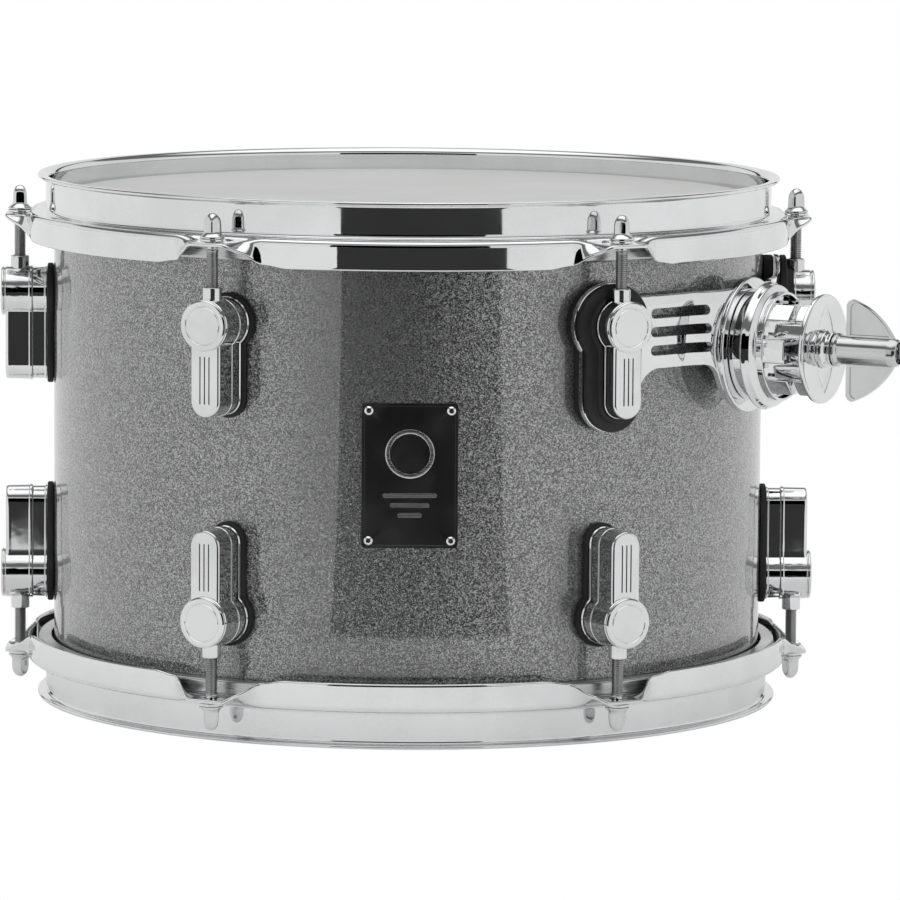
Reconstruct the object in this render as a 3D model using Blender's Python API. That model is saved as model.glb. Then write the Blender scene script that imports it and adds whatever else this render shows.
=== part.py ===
"""Rack tom: a 12 by 8 inch wrapped shell with two tensioned heads and a rail-style arm clamp.

Frame: origin at the centre of the lower (resonant) head's outer face, +Z up along the drum's
axis. Azimuth 0 is the badge, at -Y, and azimuth grows towards +X. Lengths are in metres.
"""

from math import acos, asin, atan2, cos, degrees, pi, radians, sin, sqrt

import bmesh
import bpy
import numpy as np
from mathutils import Matrix, Vector

MM = 0.001
GAP = 0.3 * MM  # running and seating clearance between neighbouring pieces

# Heads and shell
HEAD_SPACING = 204.4 * MM  # outer face of one head to outer face of the other
FILM = 0.3 * MM
SHELL_R_IN = 143.9 * MM
SHELL_R_EDGE = 147.5 * MM  # crest of the bearing edge
SHELL_R_OUT = 149.9 * MM
WRAP_R_IN = SHELL_R_OUT + GAP
WRAP_R_OUT = WRAP_R_IN + 0.6 * MM
WRAP_SETBACK = 5.0 * MM  # from the head's face to the end of the wrap
ROUND_STEPS = 60

# Head: film with its collar, and the flesh hoop that holds it
COLLAR_R_OUT = 151.5 * MM
COLLAR_DEPTH = 11.0 * MM
FLESH_R_IN = 151.8 * MM
FLESH_R_OUT = 157.5 * MM
FLESH_TOP = 8.3 * MM
FLESH_HEIGHT = 8.0 * MM

# Triple-flanged hoop, pressed from one sheet; heights are above the head's face
SHEET = 1.6 * MM
HOOP_R_IN = 152.6 * MM
LIP_R = 157.7 * MM
LIP_TOP = 9.0 * MM
FLANGE_TOP = -6.4 * MM
EAR_DROP = 2.0 * MM  # how far each ear lies below the flange
DROP_START_R = 158.0 * MM
BEND_START_R = 159.9 * MM
BEND_LENGTH = 2.1 * MM
SKIRT_LENGTH = 12.11 * MM  # sheet beyond the start of the bend, between ears
EAR_LENGTH = 11.8 * MM  # the same at an ear
TWIST_CUT = 3.4 * MM  # taken off the length half way from ear to skirt
CORNER_CUT = 1.3 * MM  # taken off each end of the skirt, to round its corner
EAR_FLAT = radians(2.4)
EAR_END = radians(7.3)
CORNER_END = radians(11)
ROD_HOLE_R = 3.3 * MM

# Tension rods and lugs
LUG_AZIMUTHS = tuple(radians(a) for a in (-150, -90, -30, 30, 90, 150))
MOUNT_LUGS = (4, 5)  # numbers of the two batter lugs that carry the mount plate
ROD_CIRCLE_R = 165.3 * MM
ROD_R = 2.5 * MM
ROD_END_DEPTH = 45.8 * MM  # from the head's face to the end of the thread
WASHER_R = 5.3 * MM
ROD_HEAD_HALF = 3.0 * MM
LUG_DEPTH = 41.8 * MM  # from the head's face to the middle of the lug's round end
LUG_ROUND_R = 10.75 * MM
LUG_STEM_HALF = 7.0 * MM
LUG_STEM_CENTRE = 30.85 * MM
LUG_BASE = 153.8 * MM
LUG_FACE = 171.3 * MM
LUG_BEVEL = 2.0 * MM
LUG_CAP_R = 10.45 * MM
LUG_CAP_FACE = 173.2 * MM
SLEEVE_R = 3.9 * MM
SLEEVE_BORE_R = 3.1 * MM
SLEEVE_REACH = 15.2 * MM
GASKET_BACK = 151.1 * MM
GASKET_GROWTH = 1.25 * MM

# Mount plate on its rubber pads, bent round the shell
PAD_GROWTH = 6.0 * MM
PLATE_GROWTH = 6.4 * MM
PLATE_R_IN = 155.7 * MM
PLATE_R_OUT = 158.2 * MM
OUTER_PAD_FLOOR = 159.7 * MM
OUTER_PAD_FACE = 161.0 * MM
PAD_COLLAR_FACE = 163.9 * MM
PAD_COLLAR_GROWTH = 2.0 * MM
PLATE_AZIMUTH = radians(60)
PLATE_TOP = 173.3 * MM
PLATE_BOTTOM = 143.2 * MM
SLOT_HEIGHT = 4.2 * MM
SLOT_PITCH = 7.6 * MM
SLOT_INNER = 22.0 * MM  # slot ends, measured round the plate from the clamp
SLOT_OUTER = 61.5 * MM
BOSS_R = 28.0 * MM
BOSS_BACK = 154.6 * MM
BOSS_FACE = 162.6 * MM
BOSS_TOP_FILLET = 8.0 * MM
BOSS_BOTTOM_FILLET = 9.0 * MM
LUG_FILLET = 4.0 * MM  # where the plate's top edge meets a lug's round end
PLATE_CORNER = 12.0 * MM  # where its bottom edge meets a lug's stem

# Arm clamp; distances along its axis are measured from the drum's axis
CLAMP_Z = 149.0 * MM
NECK_R = 23.2 * MM
RING_R = 26.7 * MM
RING_BACK = 169.2 * MM
RING_SHOULDER_R = 25.8 * MM
RING_SHOULDER = 171.2 * MM
RING_FRONT_R = 25.3 * MM
RING_FRONT = 173.0 * MM
RIM_R = 22.6 * MM  # the short rim that the fingers rise from
RIM_R_IN = 21.4 * MM
RIM_START = 174.6 * MM
RIM_FACE = 177.8 * MM
SEAT = 174.5 * MM
FINGER_R = 22.2 * MM
FINGER_END = 187.5 * MM
JAW_FINGER_END = 182.0 * MM
JAW_BLOCK_END = 190.3 * MM
FINGER_INNER = 6.2 * MM
BASE_ROW_HALF = 4.95 * MM
JAW_ROW_START = 5.75 * MM
JAW_ROW_END = 11.25 * MM
OUTER_ROW_START = 12.05 * MM
OUTER_ROW_END = 18.5 * MM
ARM_R = 5.25 * MM
ARM_OFFSET = 10.0 * MM
ARM_CENTRE = 184.5 * MM
ARM_SEAT_HALF = 4.4 * MM  # half the open width of each vee
ARM_BLOCK_START = 4.8 * MM
ARM_BLOCK_REACH = 19.0 * MM
JAW_BACK = 193.0 * MM
JAW_RIM_BACK = 194.3 * MM
JAW_FACE = 196.0 * MM
JAW_R = 22.7 * MM
JAW_BEVEL = 3.0 * MM  # width of the bevel behind the jaw's edge
JAW_POCKET = JAW_FACE - 2.0 * MM  # floor of the washer's pocket
STUD_R = 4.0 * MM
STUD_HEAD_R = 9.0 * MM
STUD_END = 227.6 * MM
STUD_BORE_R = 4.5 * MM
WASHER_FACE = 200.7 * MM
WASHER_OUT_R = 7.8 * MM
NUT_HUB_R = 6.1 * MM
NUT_END = 229.5 * MM
WING_HALF = 21.2 * MM
WING_BACK = 206.0 * MM
WING_THICK = 3.4 * MM
WING_BOW = 2.3 * MM  # how far the front edge bows out from a straight line

# Badge and vent
BADGE_AZIMUTH = radians(-1)
BADGE_HALF_WIDTH = 19.6 * MM
BADGE_HALF_HEIGHT = 29.5 * MM
BADGE_CORNER = 1.5 * MM
BADGE_THICK = 0.8 * MM
RIVET_R = 1.85 * MM
RIVET_INSET = 3.0 * MM
VENT_HOLE_R = 6.3 * MM
VENT_FLANGE_R = 8.5 * MM
VENT_BORE_R = 4.2 * MM

FINISHES = {  # colour, metallic, roughness
    "maple": ((0.62, 0.42, 0.24), 0.0, 0.45),
    "grey_sparkle": ((0.19, 0.19, 0.195), 0.3, 0.25),
    "coated_film": ((0.80, 0.80, 0.80), 0.0, 0.55),
    "clear_film": ((0.85, 0.86, 0.87), 0.0, 0.15),
    "aluminium": ((0.60, 0.60, 0.61), 1.0, 0.40),
    "chrome": ((0.78, 0.78, 0.79), 1.0, 0.08),
    "steel": ((0.55, 0.55, 0.56), 1.0, 0.25),
    "rubber": ((0.03, 0.03, 0.03), 0.0, 0.70),
    "badge_black": ((0.015, 0.015, 0.016), 0.2, 0.35),
}


def clear_scene():
    for obj in list(bpy.data.objects):
        bpy.data.objects.remove(obj, do_unlink=True)


def finish(name):
    """One Principled material for one node."""
    colour, metallic, roughness = FINISHES[name]
    material = bpy.data.materials.new(name)
    material.use_nodes = True
    shader = material.node_tree.nodes["Principled BSDF"]
    shader.inputs["Base Color"].default_value = (*colour, 1.0)
    shader.inputs["Metallic"].default_value = metallic
    shader.inputs["Roughness"].default_value = roughness
    return material


def make_mesh(name, bm, smooth_angle=35):
    bmesh.ops.recalc_face_normals(bm, faces=bm.faces)
    mesh = bpy.data.meshes.new(name)
    bm.to_mesh(mesh)
    bm.free()
    mesh.shade_smooth()
    mesh.set_sharp_from_angle(angle=radians(smooth_angle))
    return mesh


def add_node(name, mesh, material, matrix=None):
    """A named object; its material sits on the object so that nodes can share a mesh."""
    obj = bpy.data.objects.new(name, mesh)
    bpy.context.collection.objects.link(obj)
    if not mesh.materials:
        mesh.materials.append(None)
    obj.material_slots[0].link = "OBJECT"
    obj.material_slots[0].material = finish(material)
    if matrix is not None:
        obj.matrix_world = matrix
    return obj


def add_cutter(name, mesh, target, operation="DIFFERENCE", matrix=None):
    """A hidden tool body and the Boolean modifier that applies it to the target."""
    tool = bpy.data.objects.new(name, mesh)
    bpy.context.collection.objects.link(tool)
    tool.hide_render = True
    tool.display_type = "WIRE"
    if matrix is not None:
        tool.matrix_world = matrix
    cut = target.modifiers.new(name, "BOOLEAN")
    cut.operation = operation
    cut.solver = "EXACT"
    cut.object = tool
    return tool


def radial_frame(azimuth, height, turned=False):
    """Local X across, local Y along the drum's axis, local Z straight out of the shell."""
    out = Vector((sin(azimuth), -cos(azimuth), 0))
    along = Vector((0, 0, -1)) if turned else Vector((0, 0, 1))
    across = along.cross(out)
    frame = Matrix((across, along, out)).transposed().to_4x4()
    frame.translation = (0, 0, height)
    return frame


def arc(centre, radius, start, end, steps):
    """Points along an arc, both ends included; angles in degrees, anticlockwise."""
    angles = np.radians(np.linspace(start, end, steps + 1))
    return [(centre[0] + radius * cos(a), centre[1] + radius * sin(a)) for a in angles]


def grid_mesh(name, rings, closed_ends=True):
    """Rings of equally many points joined one after another, the first and last filled."""
    bm = bmesh.new()
    rows = [[bm.verts.new(p) for p in ring] for ring in rings]
    count = len(rows[0])
    pairs = zip(rows, rows[1:]) if closed_ends else zip(rows, rows[1:] + rows[:1])
    for near, far in pairs:
        for i in range(count):
            j = (i + 1) % count
            bm.faces.new((near[i], near[j], far[j], far[i]))
    if closed_ends:
        bm.faces.new(rows[0])
        bm.faces.new(rows[-1])
    return make_mesh(name, bm)


def turned_mesh(name, profile, steps=ROUND_STEPS):
    """A closed (radius, height) outline turned about the local Z axis.

    An outline that starts and ends on the axis makes a solid; any other makes a ring.
    """
    solid = profile[0][0] == 0
    bm = bmesh.new()
    points = [bm.verts.new((radius, 0, height)) for radius, height in profile]
    edges = [bm.edges.new(pair) for pair in zip(points, points[1:])]
    if not solid:
        edges.append(bm.edges.new((points[-1], points[0])))
    bmesh.ops.spin(bm, geom=points + edges, axis=(0, 0, 1), cent=(0, 0, 0), angle=2 * pi,
                   steps=steps, use_merge=True)
    bmesh.ops.remove_doubles(bm, verts=bm.verts, dist=0.001 * MM)
    return make_mesh(name, bm)


def prism_mesh(name, outline, low, high):
    """An (x, y) outline carried straight along local Z."""
    bm = bmesh.new()
    rows = [[bm.verts.new((x, y, level)) for x, y in outline] for level in (low, high)]
    for i in range(len(outline)):
        j = (i + 1) % len(outline)
        bm.faces.new((rows[0][i], rows[0][j], rows[1][j], rows[1][i]))
    bm.faces.new(rows[0][::-1])
    bm.faces.new(rows[1])
    return make_mesh(name, bm)


def keyhole(growth=0.0, round_steps=9, end_steps=5):
    """Lug outline: a round end about the origin and a stem up +Y with a half-round tip."""
    radius = LUG_ROUND_R + growth
    half = LUG_STEM_HALF + growth
    corner = degrees(asin(half / radius))
    head = arc((0, 0), radius, 90 + corner, 450 - corner, round_steps)
    return head + arc((0, LUG_STEM_CENTRE), half, 0, 180, end_steps)


# ---------------------------------------------------------------- shell and heads

def end_heights(depth):
    """Heights at the same distance inside the lower and the upper head's outer face."""
    return depth, HEAD_SPACING - depth


def build_shell():
    crest, top = end_heights(2 * FILM)
    inner, inner_top = end_heights(2 * FILM + SHELL_R_EDGE - SHELL_R_IN)
    outer, outer_top = end_heights(2 * FILM + 1.6 * MM)
    profile = [(SHELL_R_IN, inner), (SHELL_R_EDGE, crest), (SHELL_R_OUT, outer),
               (SHELL_R_OUT, outer_top), (SHELL_R_EDGE, top), (SHELL_R_IN, inner_top)]
    low, high = end_heights(WRAP_SETBACK)
    wrap_profile = [(WRAP_R_IN, low), (WRAP_R_OUT, low), (WRAP_R_OUT, high), (WRAP_R_IN, high)]
    shell = add_node("shell", turned_mesh("shell", profile), "maple")
    wrap = add_node("shell_wrap", turned_mesh("shell_wrap", wrap_profile), "grey_sparkle")

    hole = [(0, SHELL_R_IN - 5 * MM), (VENT_HOLE_R, SHELL_R_IN - 5 * MM),
            (VENT_HOLE_R, WRAP_R_OUT + 5 * MM), (0, WRAP_R_OUT + 5 * MM)]
    hole_mesh = turned_mesh("vent_hole", hole, 12)
    place = radial_frame(pi, HEAD_SPACING / 2)
    for target in (shell, wrap):
        add_cutter("vent_hole_in_" + target.name, hole_mesh, target, matrix=place)


def build_vent_grommet():
    tube = VENT_HOLE_R - 1.5 * GAP
    back, seat = SHELL_R_IN - 1.0 * MM, WRAP_R_OUT + GAP
    profile = [(VENT_BORE_R, back), (tube, back), (tube, seat), (VENT_FLANGE_R, seat),
               (VENT_FLANGE_R, seat + 0.6 * MM), (VENT_FLANGE_R - 1.2 * MM, seat + 1.2 * MM),
               (VENT_BORE_R, seat + 1.2 * MM)]
    mesh = turned_mesh("vent_grommet", profile, 16)
    add_node("vent_grommet", mesh, "chrome", radial_frame(pi, HEAD_SPACING / 2))


def head_frame(side):
    """Frame on a head's outer face, local Z pointing out of the drum."""
    if side == "batter":
        return Matrix.Translation((0, 0, HEAD_SPACING))
    return Matrix.Rotation(pi, 4, "X")


def head_profile():
    """Film 0.3 mm thick: flat across, round over the bearing edge, then the collar."""
    turn = COLLAR_R_OUT - 2.4 * MM
    return [(0, 0), (turn, 0), (COLLAR_R_OUT, -2.4 * MM), (COLLAR_R_OUT, -COLLAR_DEPTH),
            (COLLAR_R_OUT - FILM, -COLLAR_DEPTH), (COLLAR_R_OUT - FILM, -2.5 * MM),
            (turn - 0.1 * MM, -FILM), (0, -FILM)]


def flesh_profile():
    low = -FLESH_TOP - FLESH_HEIGHT
    return [(FLESH_R_IN, low), (FLESH_R_OUT, low), (FLESH_R_OUT, -FLESH_TOP),
            (FLESH_R_IN, -FLESH_TOP)]


def build_heads():
    film = turned_mesh("head", head_profile())
    flesh = turned_mesh("flesh_hoop", flesh_profile())
    for side, finish_name in (("batter", "coated_film"), ("resonant", "clear_film")):
        add_node(side + "_head", film, finish_name, head_frame(side))
        add_node(side + "_flesh_hoop", flesh, "aluminium", head_frame(side))


# ---------------------------------------------------------------- hoops and tensioning

def eased(value, low, high):
    x = min(max((value - low) / (high - low), 0.0), 1.0)
    return x * x * (3 - 2 * x)


def ear_bend(azimuth):
    """0 at an ear to 1 where the sheet hangs as the skirt, and the length of sheet there."""
    away = min(abs((azimuth - a + pi) % (2 * pi) - pi) for a in LUG_AZIMUTHS)
    blend = eased(away, EAR_FLAT, EAR_END)
    length = EAR_LENGTH + blend * (SKIRT_LENGTH - EAR_LENGTH)
    length -= TWIST_CUT * 4 * blend * (1 - blend)
    return blend, length - CORNER_CUT * blend * (1 - eased(away, EAR_END, CORNER_END))


def hoop_section(azimuth):
    """The sheet's closed (radius, height) section at one azimuth."""
    blend, length = ear_bend(azimuth)
    bend = max(blend * pi / 2, radians(0.5))
    middle = FLANGE_TOP - (1 - blend) * EAR_DROP - SHEET / 2
    curve = bend / BEND_LENGTH
    outer = [(DROP_START_R, FLANGE_TOP)]
    inner = [(DROP_START_R, FLANGE_TOP - SHEET)]
    for s in (0, BEND_LENGTH / 2, BEND_LENGTH, length):
        angle = curve * min(s, BEND_LENGTH)
        past = max(s - BEND_LENGTH, 0)
        radius = BEND_START_R + sin(angle) / curve + past * cos(angle)
        height = middle - (1 - cos(angle)) / curve - past * sin(angle)
        offset = (sin(angle) * SHEET / 2, cos(angle) * SHEET / 2)
        outer.append((radius + offset[0], height + offset[1]))
        inner.append((radius - offset[0], height - offset[1]))
    wall = HOOP_R_IN + SHEET
    lip = [(LIP_R, LIP_TOP - SHEET), (LIP_R, LIP_TOP), (HOOP_R_IN + 1.3 * MM, LIP_TOP),
           (HOOP_R_IN, LIP_TOP - 1.7 * MM)]
    return ([(HOOP_R_IN, FLANGE_TOP - SHEET)] + inner + outer[::-1]
            + [(wall, FLANGE_TOP), (wall, LIP_TOP - 2.1 * MM)] + lip)


def hoop_azimuths():
    """Close together across each ear and wider between, the same for every sixth."""
    shares = [EAR_FLAT, radians(4), radians(5.6), EAR_END, radians(9)]
    sixth = radians(60)
    span = np.linspace(CORNER_END, sixth - CORNER_END, 7)
    local = [-s for s in shares[::-1]] + shares + list(span)
    return [start + offset for start in LUG_AZIMUTHS for offset in local]


def build_hoops():
    rings = [[(r * sin(a), -r * cos(a), z) for r, z in hoop_section(a)] for a in hoop_azimuths()]
    mesh = grid_mesh("hoop", rings, closed_ends=False)
    hole = [(0, -12 * MM), (ROD_HOLE_R, -12 * MM), (ROD_HOLE_R, 0), (0, 0)]
    hole_mesh = turned_mesh("rod_hole", hole, 12)
    for side in ("batter", "resonant"):
        hoop = add_node(side + "_hoop", mesh, "chrome", head_frame(side))
        for number, azimuth in enumerate(LUG_AZIMUTHS, 1):
            place = rod_frame(side, azimuth)
            add_cutter(f"{side}_rod_hole_{number}", hole_mesh, hoop, matrix=place)


def rod_frame(side, azimuth):
    """Frame on a rod's axis at the level of the head's face, local Z out of the drum."""
    spot = Matrix.Translation((ROD_CIRCLE_R * sin(azimuth), -ROD_CIRCLE_R * cos(azimuth), 0))
    height = HEAD_SPACING if side == "batter" else 0
    turn = Matrix() if side == "batter" else Matrix.Rotation(pi, 4, "X")
    return Matrix.Translation((0, 0, height)) @ spot @ turn


def octagon(half, corner, height):
    """Eight points: a square of the given half width whose corners are cut at `corner`."""
    quarter = [(half, -corner), (half, corner)]
    return [(x * cos(q) - y * sin(q), x * sin(q) + y * cos(q), height)
            for q in (0, pi / 2, pi, 3 * pi / 2) for x, y in quarter]


def round_ring(radius, height):
    half = radius * cos(pi / 8)
    return octagon(half, half * (sqrt(2) - 1), height)


def build_rods():
    """Rod, its washer and its square domed head, turned and drawn up as one piece."""
    seat = FLANGE_TOP - EAR_DROP + GAP
    rings = [round_ring(ROD_R, -ROD_END_DEPTH), round_ring(ROD_R, seat),
             round_ring(WASHER_R, seat), round_ring(WASHER_R, seat + 1.6 * MM),
             round_ring(4.4 * MM, seat + 2.9 * MM),
             octagon(ROD_HEAD_HALF, 0.6 * ROD_HEAD_HALF, seat + 3.4 * MM),
             octagon(ROD_HEAD_HALF, 0.6 * ROD_HEAD_HALF, seat + 9.2 * MM),
             round_ring(2.0 * MM, seat + 11.4 * MM)]
    mesh = grid_mesh("tension_rod", rings)
    for side in ("batter", "resonant"):
        for number, azimuth in enumerate(LUG_AZIMUTHS, 1):
            add_node(f"{side}_rod_{number}", mesh, "chrome", rod_frame(side, azimuth))


def lug_frame(side, azimuth):
    """Frame with its origin level with the lug's round end and the stem along local +Y."""
    low, high = end_heights(LUG_DEPTH)
    if side == "batter":
        return radial_frame(azimuth, high, turned=True)
    return radial_frame(azimuth, low)


def lug_mesh(name, base):
    """Cast body with rounded front edges, round cap and the sleeve nut that takes the rod."""
    body = [[(x, y, level) for x, y in keyhole(growth)]
            for growth, level in ((0, base), (0, LUG_FACE - LUG_BEVEL), (-LUG_BEVEL, LUG_FACE))]
    return grid_mesh(name, body)


def lug_cap_mesh():
    top = LUG_CAP_R - 0.6 * MM
    profile = [(0, LUG_FACE - 4 * MM), (LUG_CAP_R, LUG_FACE - 4 * MM),
               (LUG_CAP_R, LUG_CAP_FACE - 0.6 * MM), (top, LUG_CAP_FACE), (0, LUG_CAP_FACE)]
    return turned_mesh("lug_cap", profile, 14)


def sleeve_meshes():
    """The sleeve nut and its bore, both along local Y at the rod circle."""
    lay = Matrix.Translation((0, 0, ROD_CIRCLE_R)) @ Matrix.Rotation(pi / 2, 4, "X")
    nut = turned_mesh("sleeve", [(0, 0), (SLEEVE_R, 0), (SLEEVE_R, SLEEVE_REACH),
                                 (0, SLEEVE_REACH)], 10)
    bottom = LUG_DEPTH - ROD_END_DEPTH - 1.5 * MM
    bore = turned_mesh("sleeve_bore", [(0, bottom), (SLEEVE_BORE_R, bottom),
                                       (SLEEVE_BORE_R, SLEEVE_REACH + 2 * MM),
                                       (0, SLEEVE_REACH + 2 * MM)], 8)
    nut.transform(lay)
    bore.transform(lay)
    return nut, bore


def build_lugs():
    common = lug_mesh("lug", LUG_BASE)
    mounting = lug_mesh("mount_lug", OUTER_PAD_FLOOR + GAP)
    cap = lug_cap_mesh()
    nut, bore = sleeve_meshes()
    gasket = gasket_mesh()
    for side in ("batter", "resonant"):
        for number, azimuth in enumerate(LUG_AZIMUTHS, 1):
            on_plate = side == "batter" and number in MOUNT_LUGS
            place = lug_frame(side, azimuth)
            name = f"{side}_lug_{number}"
            lug = add_node(name, mounting if on_plate else common, "chrome", place)
            add_cutter(name + "_cap", cap, lug, "UNION", place)
            add_cutter(name + "_sleeve", nut, lug, "UNION", place)
            add_cutter(name + "_bore", bore, lug, "DIFFERENCE", place)
            if not on_plate:
                add_node(f"{side}_gasket_{number}", gasket, "rubber", place)


# ---------------------------------------------------------------- rubber and mount plate

def filled_sheet(loops, cuts):
    """A flat face inside the first loop with the others as holes, cut across at each x."""
    bm = bmesh.new()
    for loop in loops:
        points = [bm.verts.new((x, y, 0)) for x, y in loop]
        for i, point in enumerate(points):
            bm.edges.new((point, points[(i + 1) % len(points)]))
    bmesh.ops.triangle_fill(bm, edges=bm.edges, use_beauty=True, normal=(0, 0, 1))
    for x in cuts:
        everything = bm.verts[:] + bm.edges[:] + bm.faces[:]
        bmesh.ops.bisect_plane(bm, geom=everything, plane_co=(x, 0, 0), plane_no=(1, 0, 0),
                               dist=0.001 * MM)
    bmesh.ops.triangulate(bm, faces=bm.faces)
    return bm


def thick_sheet(name, bm, back, front):
    """Give a flat sheet two surfaces, placed by back(x, y) and front(x, y)."""
    under = bm.verts[:]
    grown = bmesh.ops.extrude_face_region(bm, geom=bm.faces[:], use_keep_orig=True)
    upper = [item for item in grown["geom"] if isinstance(item, bmesh.types.BMVert)]
    for points, place in ((under, back), (upper, front)):
        for vert in points:
            vert.co = place(vert.co.x, vert.co.y)
    return make_mesh(name, bm)


def bent(radius, true_radius=PLATE_R_IN):
    """Wraps a flat (x, y) point round the drum; x is a true length at true_radius."""
    def place(x, y):
        angle = x / true_radius
        return Vector((radius * sin(angle), y, radius * cos(angle)))
    return place


def flat(level):
    def place(x, y):
        return Vector((x, y, level))
    return place


def gasket_mesh():
    """Back curved to the wrap, front flat under the lug."""
    half = LUG_ROUND_R * 0.55
    bm = filled_sheet([keyhole(GASKET_GROWTH)], (-half, 0, half))
    return thick_sheet("gasket", bm, bent(GASKET_BACK, GASKET_BACK), flat(LUG_BASE - GAP))


def build_pads():
    """Inner and outer pads of each mounting lug; the outer one has a pocket for the lug."""
    half = LUG_ROUND_R + PAD_GROWTH
    cuts = np.linspace(-half, half, 6)[1:-1]
    inner = thick_sheet("inner_pad", filled_sheet([keyhole(PAD_GROWTH)], cuts),
                        bent(GASKET_BACK), bent(PLATE_R_IN - GAP))
    outer = thick_sheet("outer_pad", filled_sheet([keyhole(PAD_GROWTH)], cuts),
                        bent(PLATE_R_OUT + GAP), flat(OUTER_PAD_FACE))
    collar = prism_mesh("pad_collar", keyhole(PAD_COLLAR_GROWTH), OUTER_PAD_FLOOR, PAD_COLLAR_FACE)
    pocket = prism_mesh("pad_pocket", keyhole(GAP), OUTER_PAD_FLOOR, LUG_FACE)
    wide, far = SLEEVE_R + GAP, -LUG_ROUND_R - PAD_GROWTH
    notch_outline = [(-wide, far), (wide, far), (wide, 0), (-wide, 0)]
    notch = prism_mesh("sleeve_notch", notch_outline, OUTER_PAD_FACE, LUG_FACE)
    for number in MOUNT_LUGS:
        place = lug_frame("batter", LUG_AZIMUTHS[number - 1])
        add_node(f"mount_inner_pad_{number}", inner, "rubber", place)
        pad = add_node(f"mount_outer_pad_{number}", outer, "rubber", place)
        add_cutter(pad.name + "_collar", collar, pad, "UNION", place)
        add_cutter(pad.name + "_pocket", pocket, pad, "DIFFERENCE", place)
        add_cutter(pad.name + "_sleeve_notch", notch, pad, "DIFFERENCE", place)


def line_fillet(centre, radius, level, fillet, side):
    """Fillet circle touching y = level and, from outside, a round of the given radius."""
    y = level + side * fillet
    return sqrt((radius + fillet) ** 2 - (y - centre) ** 2), y


def plate_half_outline():
    """Right half of the unbent plate from the boss's top round to its bottom.

    x runs round the drum from the clamp and y is the height above the clamp's axis.
    """
    top, bottom = PLATE_TOP - CLAMP_Z, PLATE_BOTTOM - CLAMP_Z
    lug_x = radians(30) * PLATE_R_IN
    lug_y = HEAD_SPACING - LUG_DEPTH - CLAMP_Z
    round_r, half = LUG_ROUND_R + PLATE_GROWTH, LUG_STEM_HALF + PLATE_GROWTH

    fx, fy = line_fillet(0, BOSS_R, top, BOSS_TOP_FILLET, 1)
    lean = degrees(atan2(fy, fx))
    points = arc((0, 0), BOSS_R, 90, lean, 2)
    points += arc((fx, fy), BOSS_TOP_FILLET, 180 + lean, 270, 2)[1:]

    reach, fy = line_fillet(lug_y, round_r, top, LUG_FILLET, 1)
    lean = degrees(atan2(fy - lug_y, -reach))
    points += arc((lug_x - reach, fy), LUG_FILLET, 270, 180 + lean, 2)
    junction = degrees(acos(half / round_r))
    points += arc((lug_x, lug_y), round_r, lean, -junction, 9)[1:]
    points += arc((lug_x, lug_y - LUG_STEM_CENTRE), half, 0, -180, 8)

    corner = (lug_x - half - PLATE_CORNER, bottom - PLATE_CORNER)
    points += arc(corner, PLATE_CORNER, 0, 90, 3)
    fx, fy = line_fillet(0, BOSS_R, bottom, BOSS_BOTTOM_FILLET, -1)
    lean = degrees(atan2(fy, fx))
    points += arc((fx, fy), BOSS_BOTTOM_FILLET, 90, 180 + lean, 3)
    return points + arc((0, 0), BOSS_R, lean, -90, 4)[1:]


def plate_slots():
    """Three slots each side of the clamp, with half-round ends."""
    middle = (PLATE_TOP + PLATE_BOTTOM) / 2 - CLAMP_Z
    half = SLOT_HEIGHT / 2
    loops = []
    for row in (-1, 0, 1):
        y = middle + row * SLOT_PITCH
        right = (arc((SLOT_INNER + half, y), half, 90, 270, 3)
                 + arc((SLOT_OUTER - half, y), half, -90, 90, 3))
        loops += [right, [(-x, y) for x, y in right]]
    return loops


def build_mount_plate():
    half = plate_half_outline()
    outline = half + [(-x, y) for x, y in half[-2:0:-1]]
    cuts = np.linspace(-1, 1, 16) * radians(38) * PLATE_R_IN
    mesh = thick_sheet("mount_plate", filled_sheet([outline] + plate_slots(), cuts),
                       bent(PLATE_R_IN), bent(PLATE_R_OUT))
    place = radial_frame(PLATE_AZIMUTH, CLAMP_Z)
    plate = add_node("mount_plate", mesh, "chrome", place)
    boss = turned_mesh("plate_boss", [(0, BOSS_BACK), (BOSS_R, BOSS_BACK),
                                      (BOSS_R, BOSS_FACE), (0, BOSS_FACE)], 28)
    bore = turned_mesh("stud_bore", [(0, BOSS_BACK - 5 * MM), (STUD_BORE_R, BOSS_BACK - 5 * MM),
                                     (STUD_BORE_R, BOSS_FACE + 5 * MM),
                                     (0, BOSS_FACE + 5 * MM)], 12)
    add_cutter("plate_boss", boss, plate, "UNION", place)
    add_cutter("plate_stud_bore", bore, plate, "DIFFERENCE", place)


# ---------------------------------------------------------------- arm clamp

def chord(height):
    return sqrt(FINGER_R ** 2 - height ** 2)


def side_finger(name, low, high, start, end):
    """Finger on the closed side of the clamp, its outer face on the finger circle."""
    heights = np.linspace(low, high, 3)
    outer = [(-chord(h), h) for h in heights]
    return prism_mesh(name, outer + [(-FINGER_INNER, high), (-FINGER_INNER, low)], start, end)


def vee_finger(name, low, high, root, face, apex):
    """Finger on the arm's side: a block with a vee that seats a round arm."""
    reach = min(chord(max(abs(low), abs(high))) - 0.1 * MM, ARM_BLOCK_REACH)
    left, right = ARM_OFFSET - ARM_SEAT_HALF, ARM_OFFSET + ARM_SEAT_HALF
    if reach > right:
        seat = [(reach, face), (right, face), (ARM_OFFSET, apex), (left, face)]
    else:
        side = (reach - ARM_OFFSET) / ARM_SEAT_HALF
        seat = [(reach, apex + side * (face - apex)), (ARM_OFFSET, apex), (left, face)]
    outline = [(ARM_BLOCK_START, root), (reach, root)] + seat + [(ARM_BLOCK_START, face)]
    mesh = prism_mesh(name, outline, -high, -low)
    mesh.transform(Matrix.Rotation(pi / 2, 4, "X"))
    return mesh


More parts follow.
